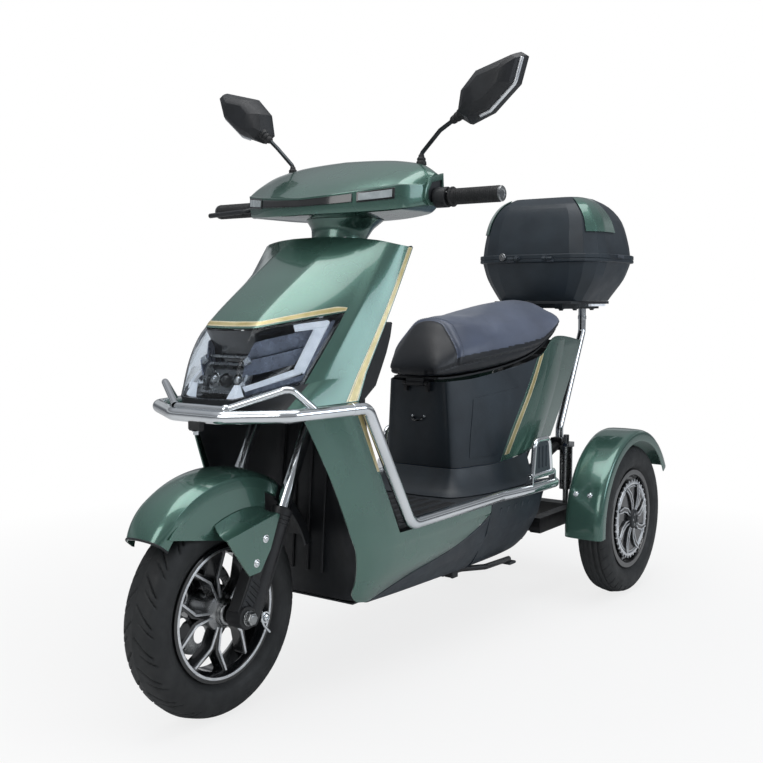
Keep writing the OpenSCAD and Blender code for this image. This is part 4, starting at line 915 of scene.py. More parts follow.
LID = [[921, 9, 6, 8, 80], [960, 15, 9, 14, 76], [1020, 31, 20, 34, 66], [1062, 62, 36, 66, 54],
       [1084, 98, 66, 106, 40]]
lid = Build()
outer = [box_ring(*k) for k in ([908, 1, 1, 1, 84], [909, 0, 0, 0, 84], [919, 0, 0, 0, 84], [920.5, 1.5, 1.5, 1.5, 84])]
outer += [box_ring(*k) for k in curve(LID, 3)]
inside = [box_ring(*k) for k in ([1080, 102, 71, 111, 36], [1056, 66, 41, 72, 48], [1016, 37, 26, 40, 60],
                                 [956, 19, 14, 18, 72], [908, 14, 11, 13, 74])]
lid.add(*loft(inside + outer), 0)
for x in (-50, 38):
    lid.add(*turned([(0, 5), (12, 5), (12, 2.6), (0, 2.6)], (x, 1270, 908), X_AXIS, 24, closed=True), 0)
    lid.add(*block((x, 1272, 908.5), (x + 12, 1282, 916)), 0)


def lid_at(side, t, q):
    """A point of the lid's wall: t from 0 at the rim to 1 at the top; q from 0 at the front face's end to 1
    where the side begins, on along the side."""
    k = curve(LID, 8)
    i = t * (len(k) - 1)
    a = int(min(i, len(k) - 2))
    z, ins, fr, bk, r = k[a] + (k[a + 1] - k[a]) * (i - a)
    half, y0 = BOX_HALF - ins, BOX_FRONT + fr
    ring = [(half - r + r * sin(w), y0 + r - r * cos(w), z) for w in np.radians((0, 30, 60, 90))]
    ring = arr(ring + [(half, BOX_BACK - bk - r, z)])
    j = min(q * 3, 3) if q <= 1 else 3 + (q - 1)
    b = int(min(j, 3))
    return (ring[b] + (ring[b + 1] - ring[b]) * (j - b)) * (side, 1, 1)


for side in (1, -1):
    g = arr([[lid_at(side, t, 0.34 + 0.1 * (1 - t) + (1.0 + 0.1 * (1 - t)) * q) + arr((side * 1.2, -1.2, 0.8))
              for q in lin(0, 1, 22)] for t in lin(0.34, 0.9, 14)])
    lid.add(*panel(g, -2.5 * side), 1)
lid.add(*turned([(0, 11), (4, 11), (6, 9.4), (6, 5), (7, 4.4), (7, 0.1)], (-92, 1280, 914.5), (0, -1, 0), 32), 2)
for side in (1, -1):
    lid.add(*side_block(side, (202, 1412, 910), (207, 1452, 919)), 0)
lid.make("luggage_lid", [SLATE, GREEN, STEEL], "lid", "black_plastic", bevel=3.0, segments=3, angle=14)

# Seat: a stuffed vinyl cushion
SEAT = arr([[672, 68, 62, 612, 634, 637], [690, 78, 58, 608, 664, 668], [720, 90, 48, 608, 708, 713],
            [750, 101, 48, 610, 738, 746], [800, 116, 78, 615, 741, 748], [880, 132, 106, 624, 738, 749],
            [970, 142, 116, 638, 744, 765], [1050, 146, 118, 657, 751, 780], [1130, 146, 116, 690, 756, 790],
            [1185, 140, 110, 716, 761, 794], [1208, 126, 98, 730, 764, 784]])
lines = curve(SEAT, 6)
# Height of the side band along the seat
BAND = [672, 720, 800, 881, 1000, 1078, 1140, 1208], [622, 634, 645, 656, 668, 679, 708, 738]


def nose_seam(z):
    return 752 - 0.22 * np.clip(746 - z, 0, 120)


def seat_ring(r, shrink=0.0):
    y, wb, wt, zb, ze, zm = r
    h = [(wb - 10, zb + 0.5), (wb, mix(zb, ze, 0.12)), (wb, mix(zb, ze, 0.5)), (wt + 7, mix(zb, ze, 0.9)), (wt - 6, ze),
         (wt * 0.5, mix(ze, zm, 0.75)), (0, zm)]
    side = curve(h, 4)
    side = np.array([(x - shrink * (1 if x > 20 else x / 20), z - shrink * (z > mix(zb, ze, 0.3))) for x, z in side])
    ring = [(-x, y, z) for x, z in side] + [(x, y, z) for x, z in side[-2::-1]]
    n = 10
    base = [(mix(side[0][0], -side[0][0], k / n), y, side[0][1]) for k in range(1, n)]
    return ring + base


def read(mesh, what="co"):
    out = np.zeros(len(mesh.vertices) * 3)
    mesh.vertices.foreach_get(what, out)
    return out.reshape(-1, 3)


me = bpy.data.meshes.new("seat_work")
v, f = loft([seat_ring(r, 2.5) for r in lines])
me.from_pydata(place(v).tolist(), [], [x[::-1] for x in f])
work = bpy.data.objects.new("seat_work", me)
scene.collection.objects.link(work)
rm = work.modifiers.new("remesh", "REMESH")
rm.mode, rm.voxel_size = "VOXEL", 0.0068
dg = bpy.context.evaluated_depsgraph_get()
base_mesh = bpy.data.meshes.new_from_object(work.evaluated_get(dg))
bpy.data.objects.remove(work)
pad = bpy.data.objects.new("seat_cushion", base_mesh)
scene.collection.objects.link(pad)
rest = read(base_mesh)
group = pad.vertex_groups.new(name="held")
low = np.interp(rest[:, 1] * 1000 - AXLE, lines[:, 0], lines[:, 3]) / 1000
for i in np.nonzero(rest[:, 2] < low + 0.012)[0]:
    group.add([int(i)], 1.0, "REPLACE")
cloth = pad.modifiers.new("cloth", "CLOTH")
s = cloth.settings
s.quality = 5
s.mass = 0.3
s.tension_stiffness = s.compression_stiffness = 25
s.bending_stiffness = 8
s.use_pressure = True
s.uniform_pressure_force = 4
s.effector_weights.gravity = 0
s.vertex_group_mass = "held"
cloth.point_cache.frame_start, cloth.point_cache.frame_end = 1, 20
for k in range(1, 21):
    scene.frame_set(k)
dg = bpy.context.evaluated_depsgraph_get()
blown = bpy.data.meshes.new_from_object(pad.evaluated_get(dg))
moved = read(blown)
pad.modifiers.clear()
scene.frame_set(1)
d = moved - rest
far = np.linalg.norm(d, axis=1, keepdims=True)
new = rest + d * np.minimum(1, 0.008 / np.maximum(far, 1e-9))
bpy.data.meshes.remove(blown)
# Even out, then press in the seams: across behind the nose and along the lower band
edges = np.array([e.vertices[:] for e in base_mesh.edges])
for _ in range(4):
    total = np.zeros_like(new)
    count = np.zeros(len(new))
    for a, b in ((0, 1), (1, 0)):
        np.add.at(total, edges[:, a], new[edges[:, b]])
        np.add.at(count, edges[:, a], 1)
    new = 0.5 * new + 0.5 * total / count[:, None]
base_mesh.vertices.foreach_set("co", new.ravel())
base_mesh.update()
pad.vertex_groups.clear()
sub = pad.modifiers.new("sub", "SUBSURF")
sub.levels = sub.render_levels = 1
dg = bpy.context.evaluated_depsgraph_get()
fine = bpy.data.meshes.new_from_object(pad.evaluated_get(dg))
pad.modifiers.clear()
pad.data = fine
co, nn = read(fine), read(fine, "normal")
Fy = co[:, 1] * 1000 - AXLE
Fx, Fz = np.abs(co[:, 0]) * 1000, co[:, 2] * 1000
band_z = np.interp(Fy, *BAND)
nose_y = nose_seam(Fz)


def groove(dist, width, depth):
    return depth * np.exp(-(dist / width) ** 2)


press = np.zeros(len(co))
above = Fz > band_z - 1
press += np.where(above, groove(Fy - nose_y, 3.2, 3.0), 0)
press += np.where(Fx > 40, groove(Fz - band_z, 2.6, 2.6), 0)
lift = np.where(above & (Fy > nose_y), np.exp(-((Fy - nose_y - 9) / 9) ** 2) * 1.6, 0)
step = np.where((Fz < band_z) & (Fx > 40), 2.2, 0)
co = co - nn * ((press - lift + step) / 1000)[:, None]
fine.vertices.foreach_set("co", co.ravel())
fine.update()
fine.materials.clear()
for m in (VINYL_LIT, VINYL_DARK_AND_SHADED):
    fine.materials.append(m)
centre = np.array([p.center[:] for p in fine.polygons])
cy, cz = centre[:, 1] * 1000 - AXLE, centre[:, 2] * 1000
cband = np.interp(cy, *BAND)
cnose = nose_seam(cz)
cedge = np.interp(cy, SEAT[:, 0], SEAT[:, 4])
# Lighter vinyl on the upper surface, dark vinyl on the nose and below a line a fifth of the way from the side band up
# to the saddle's edge. On the saddle's sides this split is painted light and shade, not a seam. The dark nose is partly
# its own panel and partly painted shade
fine.polygons.foreach_set("material_index", ((cz < cband + 0.2 * (cedge - cband)) | (cy < cnose)).astype(int))
fine.polygons.foreach_set("use_smooth", [True] * len(fine.polygons))
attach(pad, "seat")
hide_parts("seat_cushion")

# Stitches along the nose seam and the side band
tree = BVHTree.FromPolygons([tuple(p) for p in co], [tuple(p.vertices) for p in fine.polygons])


def on_pad(x, y, z, d=0.0):
    p, n, i, dist = tree.find_nearest(Vector(place([(x, y, z)])[0]))
    return arr(p) * 1000 - (0, AXLE, 0) + arr(n) * d


thread = Build()


# Short threads along a line, each drawn into the cushion at both ends
def stitches(points, pitch=7.0, length=4.6, r=0.55):
    pts = arr(points)
    seg = np.linalg.norm(np.diff(pts, axis=0), axis=1)
    s = np.concatenate([[0], np.cumsum(seg)])
    for a in np.arange(2, s[-1] - length, pitch):
        p = [arr([np.interp(a + q, s, pts[:, k]) for k in range(3)]) for q in (0, length / 2, length)]
        thread.add(*tube([on_pad(*p[0], -0.3), on_pad(*p[1], 0.7), on_pad(*p[2], -0.3)], r, 3, 6, 20))


for side in (1, -1):
    ys = lin(770, 1180, 46)
    stitches([(side * 150, y, np.interp(y, *BAND) + 6) for y in ys])
arc = [(x, 760 - 0.22 * max(0, 746 - z), z) for x, z in
       [(-112, 652), (-104, 690), (-80, 728), (-56, 748), (0, 752), (56, 748), (80, 728), (104, 690), (112, 652)]]
stitches(curve(arc, 8))
thread.make("seat_stitches", THREAD, "seat", "seat_vinyl", "")

# Steering: points in the fork's own frame, with its axis as z
CR, SR = cos(RAKE), sin(RAKE)


def steered(p):
    x, y, z = p
    return (x, 25 + y * CR + z * SR, WHEEL_R - y * SR + z * CR)


def steered_all(vf):
    v, f = vf
    return [steered(p) for p in v], f


LEG = [(-47.3, -7.3), (-12.3, -31.3), (14, -18), (19, 20), (19, 150), (-19, 185), (-44, 150), (-46, 60)]
legs = Build()
for side in (1, -1):
    x = side * 70
    legs.add(*steered_all(turned([(-18, 0.1), (-18, 17), (-15, 20), (196, 20), (200, 21.5), (207, 21.5), (209, 19),
                                  (209, 13.8), (190, 13.7)], (x, 0, 0), Z_AXIS, 40)), 0)
    legs.add(*steered_all(slab(LEG, 0, x - 13, x + 13)), 0)
    legs.add(*steered_all(turned([(-20, 8.3), (-20, 20), (-18, 22), (18, 22), (20, 20), (20, 8.3)], (x, -22.3, -11.3),
                                 X_AXIS, 36)), 0)
    # Ribbed field on the outer face
    o = [(-43, 4), (-8, -10), (-2, 56), (-40, 66)]
    a, b = x + side * 12.6, x + side * 14.4
    legs.add(*steered_all(slab(o, 0, *sorted((a, b)))), 1)
    for k in range(6):
        t = (k + 0.6) / 6.4
        p = mix(arr(o[0]), arr(o[3]), t) + (4, -1)
        q = mix(arr(o[1]), arr(o[2]), t) - (3, -1)
        legs.add(*steered_all(tube([(x + side * 14.6, *p), (x + side * 14.6, *q)], 2.3, 2, 10)), 1)
    # Dust seal lines round the top of the leg
    for z in (176, 184, 192):
        legs.add(*steered_all(turned([(-1.6, 20), (0, 21.2), (1.6, 20)], (x, 0, z), Z_AXIS, 40)), 0)
    # Bolt and bent wire guide at the back of the leg
    c = arr((side * 84, 52, 190))
    legs.add(*bolt(c, (side, 0, 0), 8, 7), 2)
    legs.add(*tube([c + (side * 3, -10, 12), c + (side * 4, -15, 0), c + (side * 4, -8, -14), c + (side * 4, 8, -30)],
                   2.4, 10, 12), 2)
legs.make("fork_lowers", [STEEL_BLACK, BLACK, CHROME], "steering", "black_steel", bevel=2.0, segments=3)

axle = Build()
axle.add(*turned([(-104, 0.1), (-104, 7), (-103, 8), (103, 8), (104, 7), (104, 0.1)], (0, 0, WHEEL_R), X_AXIS, 32))
for side in (1, -1):
    axle.add(*turned([(0, 15), (2, 15), (2, 13), (10, 13), (12, 11.5), (12, 8)], (side * 90.4, 0, WHEEL_R),
                     (side, 0, 0), 6))
    axle.add(*turned([(0, 14.6), (1.8, 14.6), (2.2, 14), (2.2, 8)], (side * 90.2, 0, WHEEL_R), (side, 0, 0), 32))
axle.make("front_axle", STEEL, "steering", "steel", bevel=0.6)

# Front mudguard
ARC = [(-36, -54), (-30, -53.7), (-22, -53), (-16, -52), (-10, -46), (-6, -40), (-3.4, -32), (-1, -16), (0, 0)]
arc_out = ARC + [(r, -x) for r, x in ARC[-2::-1]]
arc_in = [(r - 3, x * 0.94) for r, x in arc_out][::-1]
prof = arc_out + arc_in


def on_arc(x, r, a):
    """A point at the radius r and the angle a about the centre of the front mudguard."""
    return x, 8 + r * cos(a), 220 + r * sin(a)


def mudguard(r, a0, a1, n, taper=0.0):
    rings = []
    for k in lin(0, 1, n):
        cut = taper * max(0.0, (k - 0.78) / 0.22) ** 2
        rings.append([on_arc(x * (1 - 0.16 * cut), r + q - 10 * cut, radians(mix(a0, a1, k))) for q, x in prof])
    return loft(rings)


WALL = [(-161, 373), (-150, 385), (-128, 402), (-106, 417), (-70, 433), (-32, 445), (10, 448), (48, 445), (88, 432),
        (88, 380), (-30, 349)]
PLATE = [(-52, 357), (86, 385), (93, 382), (66, 319), (38, 281), (7, 279)]
fend = Build()
v, f = mudguard(256, 60, 142, 60, 1.0)
fend.add(v, [x[::-1] for x in f], 0)
for side in (1, -1):
    fend.add(*side_slab(WALL, side, 50.5, 53.5), 0)
    rows = []
    for k in lin(0, 1, 24):
        y, z = mix(-50, 87, k), mix(354, 383, k)
        rise = 30 * sin(pi * min(1, 0.25 + 0.75 * k)) ** 0.5
        rows.append([(side * (53 + 33.5 * w), y, z + rise * (1 - w) ** 2.2) for w in lin(0, 1, 9)])
    fend.add(*panel(arr(rows), -3 * side), 0)
    fend.add(*side_slab(PLATE, side, 83.3, 87.3), 0)
    for y, z in ((52, 342), (26, 300)):
        fend.add(*bolt((side * 87.3, y, z), (side, 0, 0), 5.6, 5), 1)
tip = [on_arc(x * 0.84, 246 + q, radians(141.6)) for q, x in arc_out]
fend.add(*tube(tip, 2.2, 6, 10), 2)
fend.make("front_fender", [GREEN, CHROME, BLACK], "steering", "green_paint", bevel=1.3, segments=3)
v, f = mudguard(252, 20, 59.9, 30)
flap = Build().add(v, [x[::-1] for x in f])
for x in (-24, 0, 24):
    flap.add(*tube([on_arc(x, 253, radians(q)) for q in range(24, 58, 4)], 1.8, 60, 8))
flap.make("fender_flap", BLACK, "steering", "black_plastic", bevel=0.8)

# Neck and headset cover
neck = []
for z in lin(900, 963.8, 12):
    t = (z - 898) / 66
    r = np.interp(t, [0, 0.4, 0.7, 0.86, 1], [58, 61, 68, 78, 86])
    yc = 25 + math.tan(RAKE) * (z - WHEEL_R)
    neck.append([(r * cos(q), yc + r * sin(q) * 0.96, z) for q in np.arange(48) * pi / 24])
nk = Build().add(*loft(neck), 0)
for x in (-46, 46):
    nk.add(*bolt((x, 25 + math.tan(RAKE) * 716 - 38, 918), (x / 60, -0.75, 0.1), 4.2), 1)
nk.make("steering_neck", [GREEN, CHROME], "steering", "green_paint", bevel=1.0)

HEAD = arr([[0, 262, 498, 964.3, 999, 1090], [60, 267, 496, 964.3, 1002, 1088], [120, 286, 488, 966, 1008, 1084],
            [180, 318, 470, 970, 1016, 1074], [206, 336, 456, 974, 1020, 1064], [228, 378, 442, 984, 1022, 1050]])
head_lines = curve(HEAD, 6)


def head_ring(x, r):
    """The cover's section at x: r gives front, back, bottom, lip and top."""
    f0, b0, z0, zl, zt = r[1:]
    top = curve([(f0 + 1, zl + 1.5), (mix(f0, b0, 0.16), mix(zl, zt, 0.32)), (mix(f0, b0, 0.36), mix(zl, zt, 0.63)),
                 (mix(f0, b0, 0.56), mix(zl, zt, 0.9)), (mix(f0, b0, 0.7), zt), (mix(f0, b0, 0.84), zt - 4),
                 (mix(f0, b0, 0.97), mix(z0, zt, 0.62)), (b0, mix(z0, zt, 0.45))], 4)
    rest = [(b0 - 3, mix(z0, zt, 0.25)), (b0 - 12, z0), (mix(f0, b0, 0.5), z0), (f0 + 8, z0), (f0 + 2, z0 + 2),
            (f0, mix(z0, zl, 0.2)), (f0 - 2, mix(z0, zl, 0.5)), (f0 - 1.6, mix(z0, zl, 0.86)), (f0 - 3, zl - 1.5),
            (f0 - 2.4, zl + 0.6)]
    return [(x, y, z) for y, z in list(top) + rest]


rings = [head_ring(-r[0], r) for r in head_lines[:0:-1]] + [head_ring(r[0], r) for r in head_lines]
v, f = loft(rings)
head = Build().add(v, f, 0)
for side in (1, -1):
    # Green cheek round the bar's opening, and the black boot in it
    outline = [(378, 1014), (396, 1040), (444, 1052), (447, 1010), (441, 984), (390, 982), (378, 996)]
    hole = [(386, 1011), (400, 1030), (438, 1038), (440, 1006), (434, 990), (394, 989), (386, 998)]
    rows = [[(side * 227.5, y, z) for y, z in outline], [(side * 232, y, z) for y, z in outline],
            [(side * 233, y * 0.92 + 418 * 0.08, z * 0.92 + 1010 * 0.08) for y, z in outline],
            [(side * 233, y, z) for y, z in hole], [(side * 226, y, z) for y, z in hole]]
    v, f = loft(rows, caps=False)
    head.add(v, facing(f, side > 0), 0)
    head.add(*side_slab(hole, side, 227.6, 228.8), 1)
    boot = [(-1.5, 18), (6, 17.6), (9, 16), (12, 17), (14, 15.6), (17, 16.6), (19, 14.5), (22, 14), (22, 11.4)]
    head.add(*turned(boot, (side * 226, 421, 1001), (side, 0, 0), 30), 1)


# Instrument panel facing the rider, laid on the cover
def head_at(x):
    return arr(head_ring(x, [np.interp(abs(x), head_lines[:, 0], head_lines[:, k]) for k in range(6)]))


g = arr([head_at(x)[20:28] for x in lin(-92, 92, 24)])
out = outward(g, 12, 4, (0, 1, 0))
g = g + 1.4 * out
head.add(*panel(g, -3 if (normals(g) * out)[12, 4].sum() > 0 else 3), 2)
for k in (4, 12, 19):
    head.add(*turned([(-1, 14), (0.8, 14), (1.4, 13), (0.6, 12.4), (0.6, 0.1)], g[k, 4], out[k, 4], 32), 1)
head.make("headset_cover", [GREEN, BLACK, GLOSS], "steering", "green_paint", bevel=0.9, angle=40)


# Light strip: a dark centre and a framed clear lamp at each end
def lip(x, t, d):
    """A point on the cover's front edge, t of the way up and d in front of it."""
    a = abs(x)
    f0, z0, zl = (np.interp(a, head_lines[:, 0], head_lines[:, k]) for k in (1, 3, 4))
    return (x, f0 - 2 * (1 - abs(2 * t - 1)) - 0.3 - d, mix(z0, zl, t))


led = Build()
mid_s = arr([[lip(x, t, 1.2) for t in lin(0.5, 0.9, 6)] for x in lin(-118, 118, 40)])
led.add(*panel(mid_s, 3), 0)
for x in lin(-104, 104, 14):
    led.add(*turned([(0, 3.6), (0.8, 3.4), (1.2, 2.4), (1.2, 0.1)], lip(x, 0.7, 1.0), (0, -1, 0.1), 14), 2)
for side in (1, -1):
    xs = lin(126, 194, 16)
    frame_g = arr([[lip(side * x, t, 0.6) for t in lin(0.46, 0.94, 6)] for x in xs])
    led.add(*panel(frame_g, 2.4 * side), 0)
    xs = lin(130, 190, 16)
    lamp_g = arr([[lip(side * x, t, 2.0) for t in lin(0.54, 0.87, 6)] for x in xs])
    led.add(*panel(lamp_g, 2 * side), 1)
led.make("headset_lamp", [GLOSS, STRIP, GUN], "steering", "light_strip", bevel=0.6)

# Bars, grips, levers
BAR = 0, 420, 1000  # middle of the handlebar
bars = Build()
for side in (1, -1):
    r0 = 16.5 if side > 0 else 17.0
    prof = [(268, 11.3), (268, 19), (269.5, 20.5), (271.5, 20.5), (273, 18.5), (274, r0)]
    for k in range(20):
        x = 277 + 4.6 * k
        prof += [(x, r0 - 0.2), (x + 0.8, r0), (x + 2.6, r0), (x + 3.4, r0 - 0.8)]
    prof += [(371, r0), (378, r0), (380, r0 - 1.5), (380, 11.3)]
    bars.add(*turned(prof, BAR, (side, 0, 0), 48), 0)
    bars.add(*turned([(379, 12), (380.5, 15.4), (383.5, 15.8), (385.2, 14.2), (385.6, 9), (384.2, 7), (384.2, 0.1)],
                     BAR, (side, 0, 0), 40), 1)
bars.make("grips", [SOFT, STEEL], "steering", "rubber")
lev = Build()
for side in (1, -1):
    lev.add(*turned([(231, 11.4), (231, 19), (233, 21), (259, 21), (261, 19), (261, 11.4)], BAR, (side, 0, 0), 40), 0)
    lev.add(*side_block(side, (240, 432, 1000), (262, 441, 1016)), 0)
    lev.add(*side_block(side, (240, 438, 996), (256, 444, 1008)), 2)
    for y in (409, 431):
        lev.add(*bolt((side * 261, y, 1009), (side, 0, 0), 2.2, washer=False), 3)
lever = [(-246, 405, 1000), (-250, 368, 992), (-370, 374, 988)]
lev.add(*tube(lever, 5, 18, 18, r_of=lambda t: 6.4 - 2.0 * t if t < 0.9 else 5.6), 0)
lev.add(*turned([(-5, 8), (5, 8), (6, 7), (6, 0.1)], (-247, 400, 1000), Z_AXIS, 24), 0)
lev.make("brake_levers", [BLACK, GLOSS, GREY, STEEL], "steering", "black_plastic", bevel=1.0)

# Mirrors
OUTLINE = arr([[262, 1164], [288, 1148], [340, 1166], [398, 1216], [414, 1268], [402, 1276], [310, 1252], [270, 1212]])
MIRRORS = ((1, "left", (0, 0, 0)), (-1, "right", (-12, 0, 9)))


def mirror_ring(side, shift, y, s):
    """A mirror's outline at the depth y, scaled by s about its middle."""
    return [arr((side * (mix(338, p[0], s) + shift[0]), 440 + y, mix(1214, p[1], s) + shift[2])) for p in OUTLINE]


for side, name, shift in MIRRORS:
    shell = loft([mirror_ring(side, shift, *k) for k in ((29, 0.93), (30, 0.97), (29, 1.0), (17, 1.005), (4, 0.94),
                                                         (-8, 0.86), (-17, 0.68), (-22, 0.5), (-23, 0.3))])
    m = Build().add(shell[0], facing(shell[1], side > 0), 0)
    # Bright trim along the lower outer edge
    trim = mirror_ring(side, shift, 6, 0.962)
    low_edge = [mix(trim[i], trim[i + 1], t) for i, ts in ((1, (0.55, 0.8)), (2, (0, 0.5, 0.97)),
                                                           (3, (0.1, 0.55, 0.95))) for t in ts]
    m.add(*tube(low_edge, 4.2, 10, 10), 1)
    stem = [arr((side * 176, 446, 1075)), arr((side * 176, 446, 1096)), arr((side * 222, 446, 1140)),
            arr((side * (284 + shift[0]), 446, 1174 + shift[2]))]
    m.add(*tube(stem, 4.6, 14, 18), 2)
    d = unit(stem[3] - stem[2])
    m.add(*turned([(-44, 5), (-40, 8), (-34, 9), (-32, 7.4), (-30, 9.6), (-24, 10.4), (-22, 9), (-20, 11.4), (-8, 14),
                   (4, 15)], stem[3] + d * 4, d, 28), 3)
    m.add(*turned([(0, 11), (6, 10.6), (9, 8.6), (10, 9.4), (14, 9), (16, 6.6), (20, 6), (22, 4.7)],
                  (side * 176, 446, 1073), Z_AXIS, 28), 3)
    m.make("mirror_" + name, [BLACK, ALLOY, GUN, SOFT], "steering", "black_plastic", bevel=2.2, segments=3, angle=24)
glass = Build()
for side, name, shift in MIRRORS:
    v, f = loft([mirror_ring(side, shift, *k) for k in ((30.3, 0.9), (31.6, 0.9), (32.3, 0.885))])
    glass.add(v, facing(f, side < 0))
glass.make("mirror_glass", GLASS, "steering", "mirror", bevel=0.4)

# Tyres
SIDE = curve([(28, 124.3), (28, 134), (mix(29, 42, 0.75), mix(133, WHEEL_R, 0.2)), (42, mix(133, WHEEL_R, 0.48)),
              (38, mix(133, WHEEL_R, 0.74)), (27, 196), (0, 202)], 6)
full = np.concatenate([SIDE, (SIDE * (-1, 1))[-2::-1]])
arc = np.concatenate([[0], np.cumsum(np.linalg.norm(np.diff(full, axis=0), axis=1))])
even = lin(0, arc[-1], 91)
full = np.stack([np.interp(even, arc, full[:, k]) for k in (0, 1)], 1)
across = even - arc[-1] / 2
tang = np.gradient(full, axis=0)
out_n = np.stack([-tang[:, 1], tang[:, 0]], 1)
out_n /= np.linalg.norm(out_n, axis=1, keepdims=True)
if out_n[45, 1] < 0:
    out_n = -out_n


def soft_step(d, half, blur=0.9):
    return 1 / (1 + np.exp((np.abs(d) - half) / blur * 2.2))


def tread_front(th, s):
    """Depth of the slanted grooves at the turn th and the distance s across the crown."""
    n = 22
    cut = np.zeros(np.broadcast(th, s).shape)
    for side, phase in ((1, 0.0), (-1, 0.5)):
        a = side * s
        for off, lo, hi, slant, half in ((0.0, 4, 40, 0.9, 2.1), (0.46, 15, 44, 0.75, 1.5)):
            turn = (th * n / (2 * np.pi) + phase + off - (a - lo) * slant / 46) % 1.0
            d = (turn - 0.5) * 2 * np.pi * 200 / n
            on = soft_step(a - (lo + hi) / 2, (hi - lo) / 2, 1.2)
            cut = np.maximum(cut, on * soft_step(d, half * (0.6 + 0.4 * np.clip((a - lo) / 18, 0, 1)), 0.7))
    return 3.6 * cut


def tread_rear(th, s):
    cut = np.zeros(np.broadcast(th, s).shape)
    for c in (-22, -8, 8, 22):
        cut = np.maximum(cut, soft_step(s - c + 0 * th, 1.9, 0.8))
    n = 40
    for side, phase in ((1, 0.0), (-1, 0.5)):
        a = side * s
        turn = (th * n / (2 * np.pi) + phase + a * 0.012) % 1.0
        d = (turn - 0.5) * 2 * np.pi * 198 / n
        cut = np.maximum(cut, 0.8 * soft_step(a - 36, 11, 1.0) * soft_step(d, 1.6, 0.7))
    return 3.2 * cut


def tyre(name, x, y, tread, count, body):
    th = np.arange(count) * 2 * np.pi / count
    depth = tread(th[:, None], across[None, :])
    rings = 0.5 * sum(soft_step(np.abs(across) - rib, half, 0.5) for rib, half in ((58, 0.8), (64, 0.8), (76, 1.2)))
    shape = full[None] - depth[:, :, None] * out_n[None] + rings[None, :, None] * out_n[None]
    v = np.stack([x + shape[..., 0], y + shape[..., 1] * np.cos(th)[:, None],
                  WHEEL_R + shape[..., 1] * np.sin(th)[:, None]], -1)
    m = len(full)
    f = [(i * m + j, i * m + j + 1, ((i + 1) % count) * m + j + 1, ((i + 1) % count) * m + j) for i in range(count)
         for j in range(m - 1)]
    f += [((i + 1) % count * m, i * m, i * m + m - 1, (i + 1) % count * m + m - 1)[::-1] for i in range(count)]
    b = Build().add(v.reshape(-1, 3), [q[::-1] for q in f])
    b.make(name, RUBBER, body, "tyre", angle=60)


tyre("front_tyre", 0, 0, tread_front, 770, "front_wheel")
for side, name in SIDES:
    tyre("rear_tyre_" + name, side * REAR_X, REAR_Y, tread_rear, 640, "rear_wheel_" + name)


# Front rim: five forked spokes with machined faces
def rim_profile(inner):
    e = 29.3
    half = [(-e, 124), (-e, 132), (-e - 0.8, 133), (-e - 3.2, 133), (-e - 4, 132), (-e - 4, 121), (-e - 3, 119),
            (-e + 8, inner + 1), (-e + 9, inner)]
    return half + [(-a, r) for a, r in half[::-1]]


rim = Build().add(*turned(rim_profile(112), (0, 0, WHEEL_R), X_AXIS, 120, closed=True), 0)
for side in (1, -1):
    rim.add(*turned([(29.6, 121), (33.9, 120.4), (34.4, 121.2), (34.4, 125.4), (33.8, 126.2), (29.6, 126.4)],
                    (0, 0, WHEEL_R), (side, 0, 0), 120, closed=True), 1)
hub = [(-37.7, 9), (-37.7, 30), (-36, 32), (-8, 32), (-2, 36), (20, 36), (24, 30), (28, 27), (29, 26), (36, 26),
       (37, 24), (41, 23), (43, 21), (44, 16), (44, 9)]
rim.add(*turned(hub, (0, 0, WHEEL_R), X_AXIS, 64), 2)
for x in (30, 34, 38):
    rim.add(*turned([(-0.8, 26.4), (0, 27), (0.8, 26.4)], (x, 0, WHEEL_R), X_AXIS, 64), 2)


def spoke(k, outline, x0, x1, mat):
    a = 2 * pi * k / 5 + radians(18)
    rim.add(*spun(outline, x0, x1, a), mat)


def stroke(pts, w):
    """Outline of a bent line of width w."""
    pts = [arr(p) for p in pts]
    left, right = [], []
    for i, p in enumerate(pts):
        d = [unit(b - a) for a, b in zip(pts, pts[1:])]
        n0 = d[max(i - 1, 0)]
        n1 = d[min(i, len(d) - 1)]
        t = unit(n0 + n1)
        n = arr((-t[1], t[0])) / max(0.5, float(t @ n0))
        left.append(p + n * w / 2)
        right.append(p - n * w / 2)
    return left + right[::-1]


for k in range(5):
    spoke(k, [(-11, 22), (-7.5, 34), (-13, 68), (-48, 106), (-41, 114), (-6, 78), (0, 60), (6, 78), (41, 114),
              (48, 106), (13, 68), (7.5, 34), (11, 22)][::-1], -3, 22, 0)
    for s in (1, -1):
        line = stroke([(s * 5.2, 26), (s * 5.4, 36), (s * 10.4, 69), (s * 45, 110.5)], 4.6)
        spoke(k, line, 20, 24.5, 1)
        spoke(k, line, -4, -2, 1)
rim.make("front_rim", [GLOSS, ALLOY, STEEL], "front_wheel", "alloy", bevel=0.9)

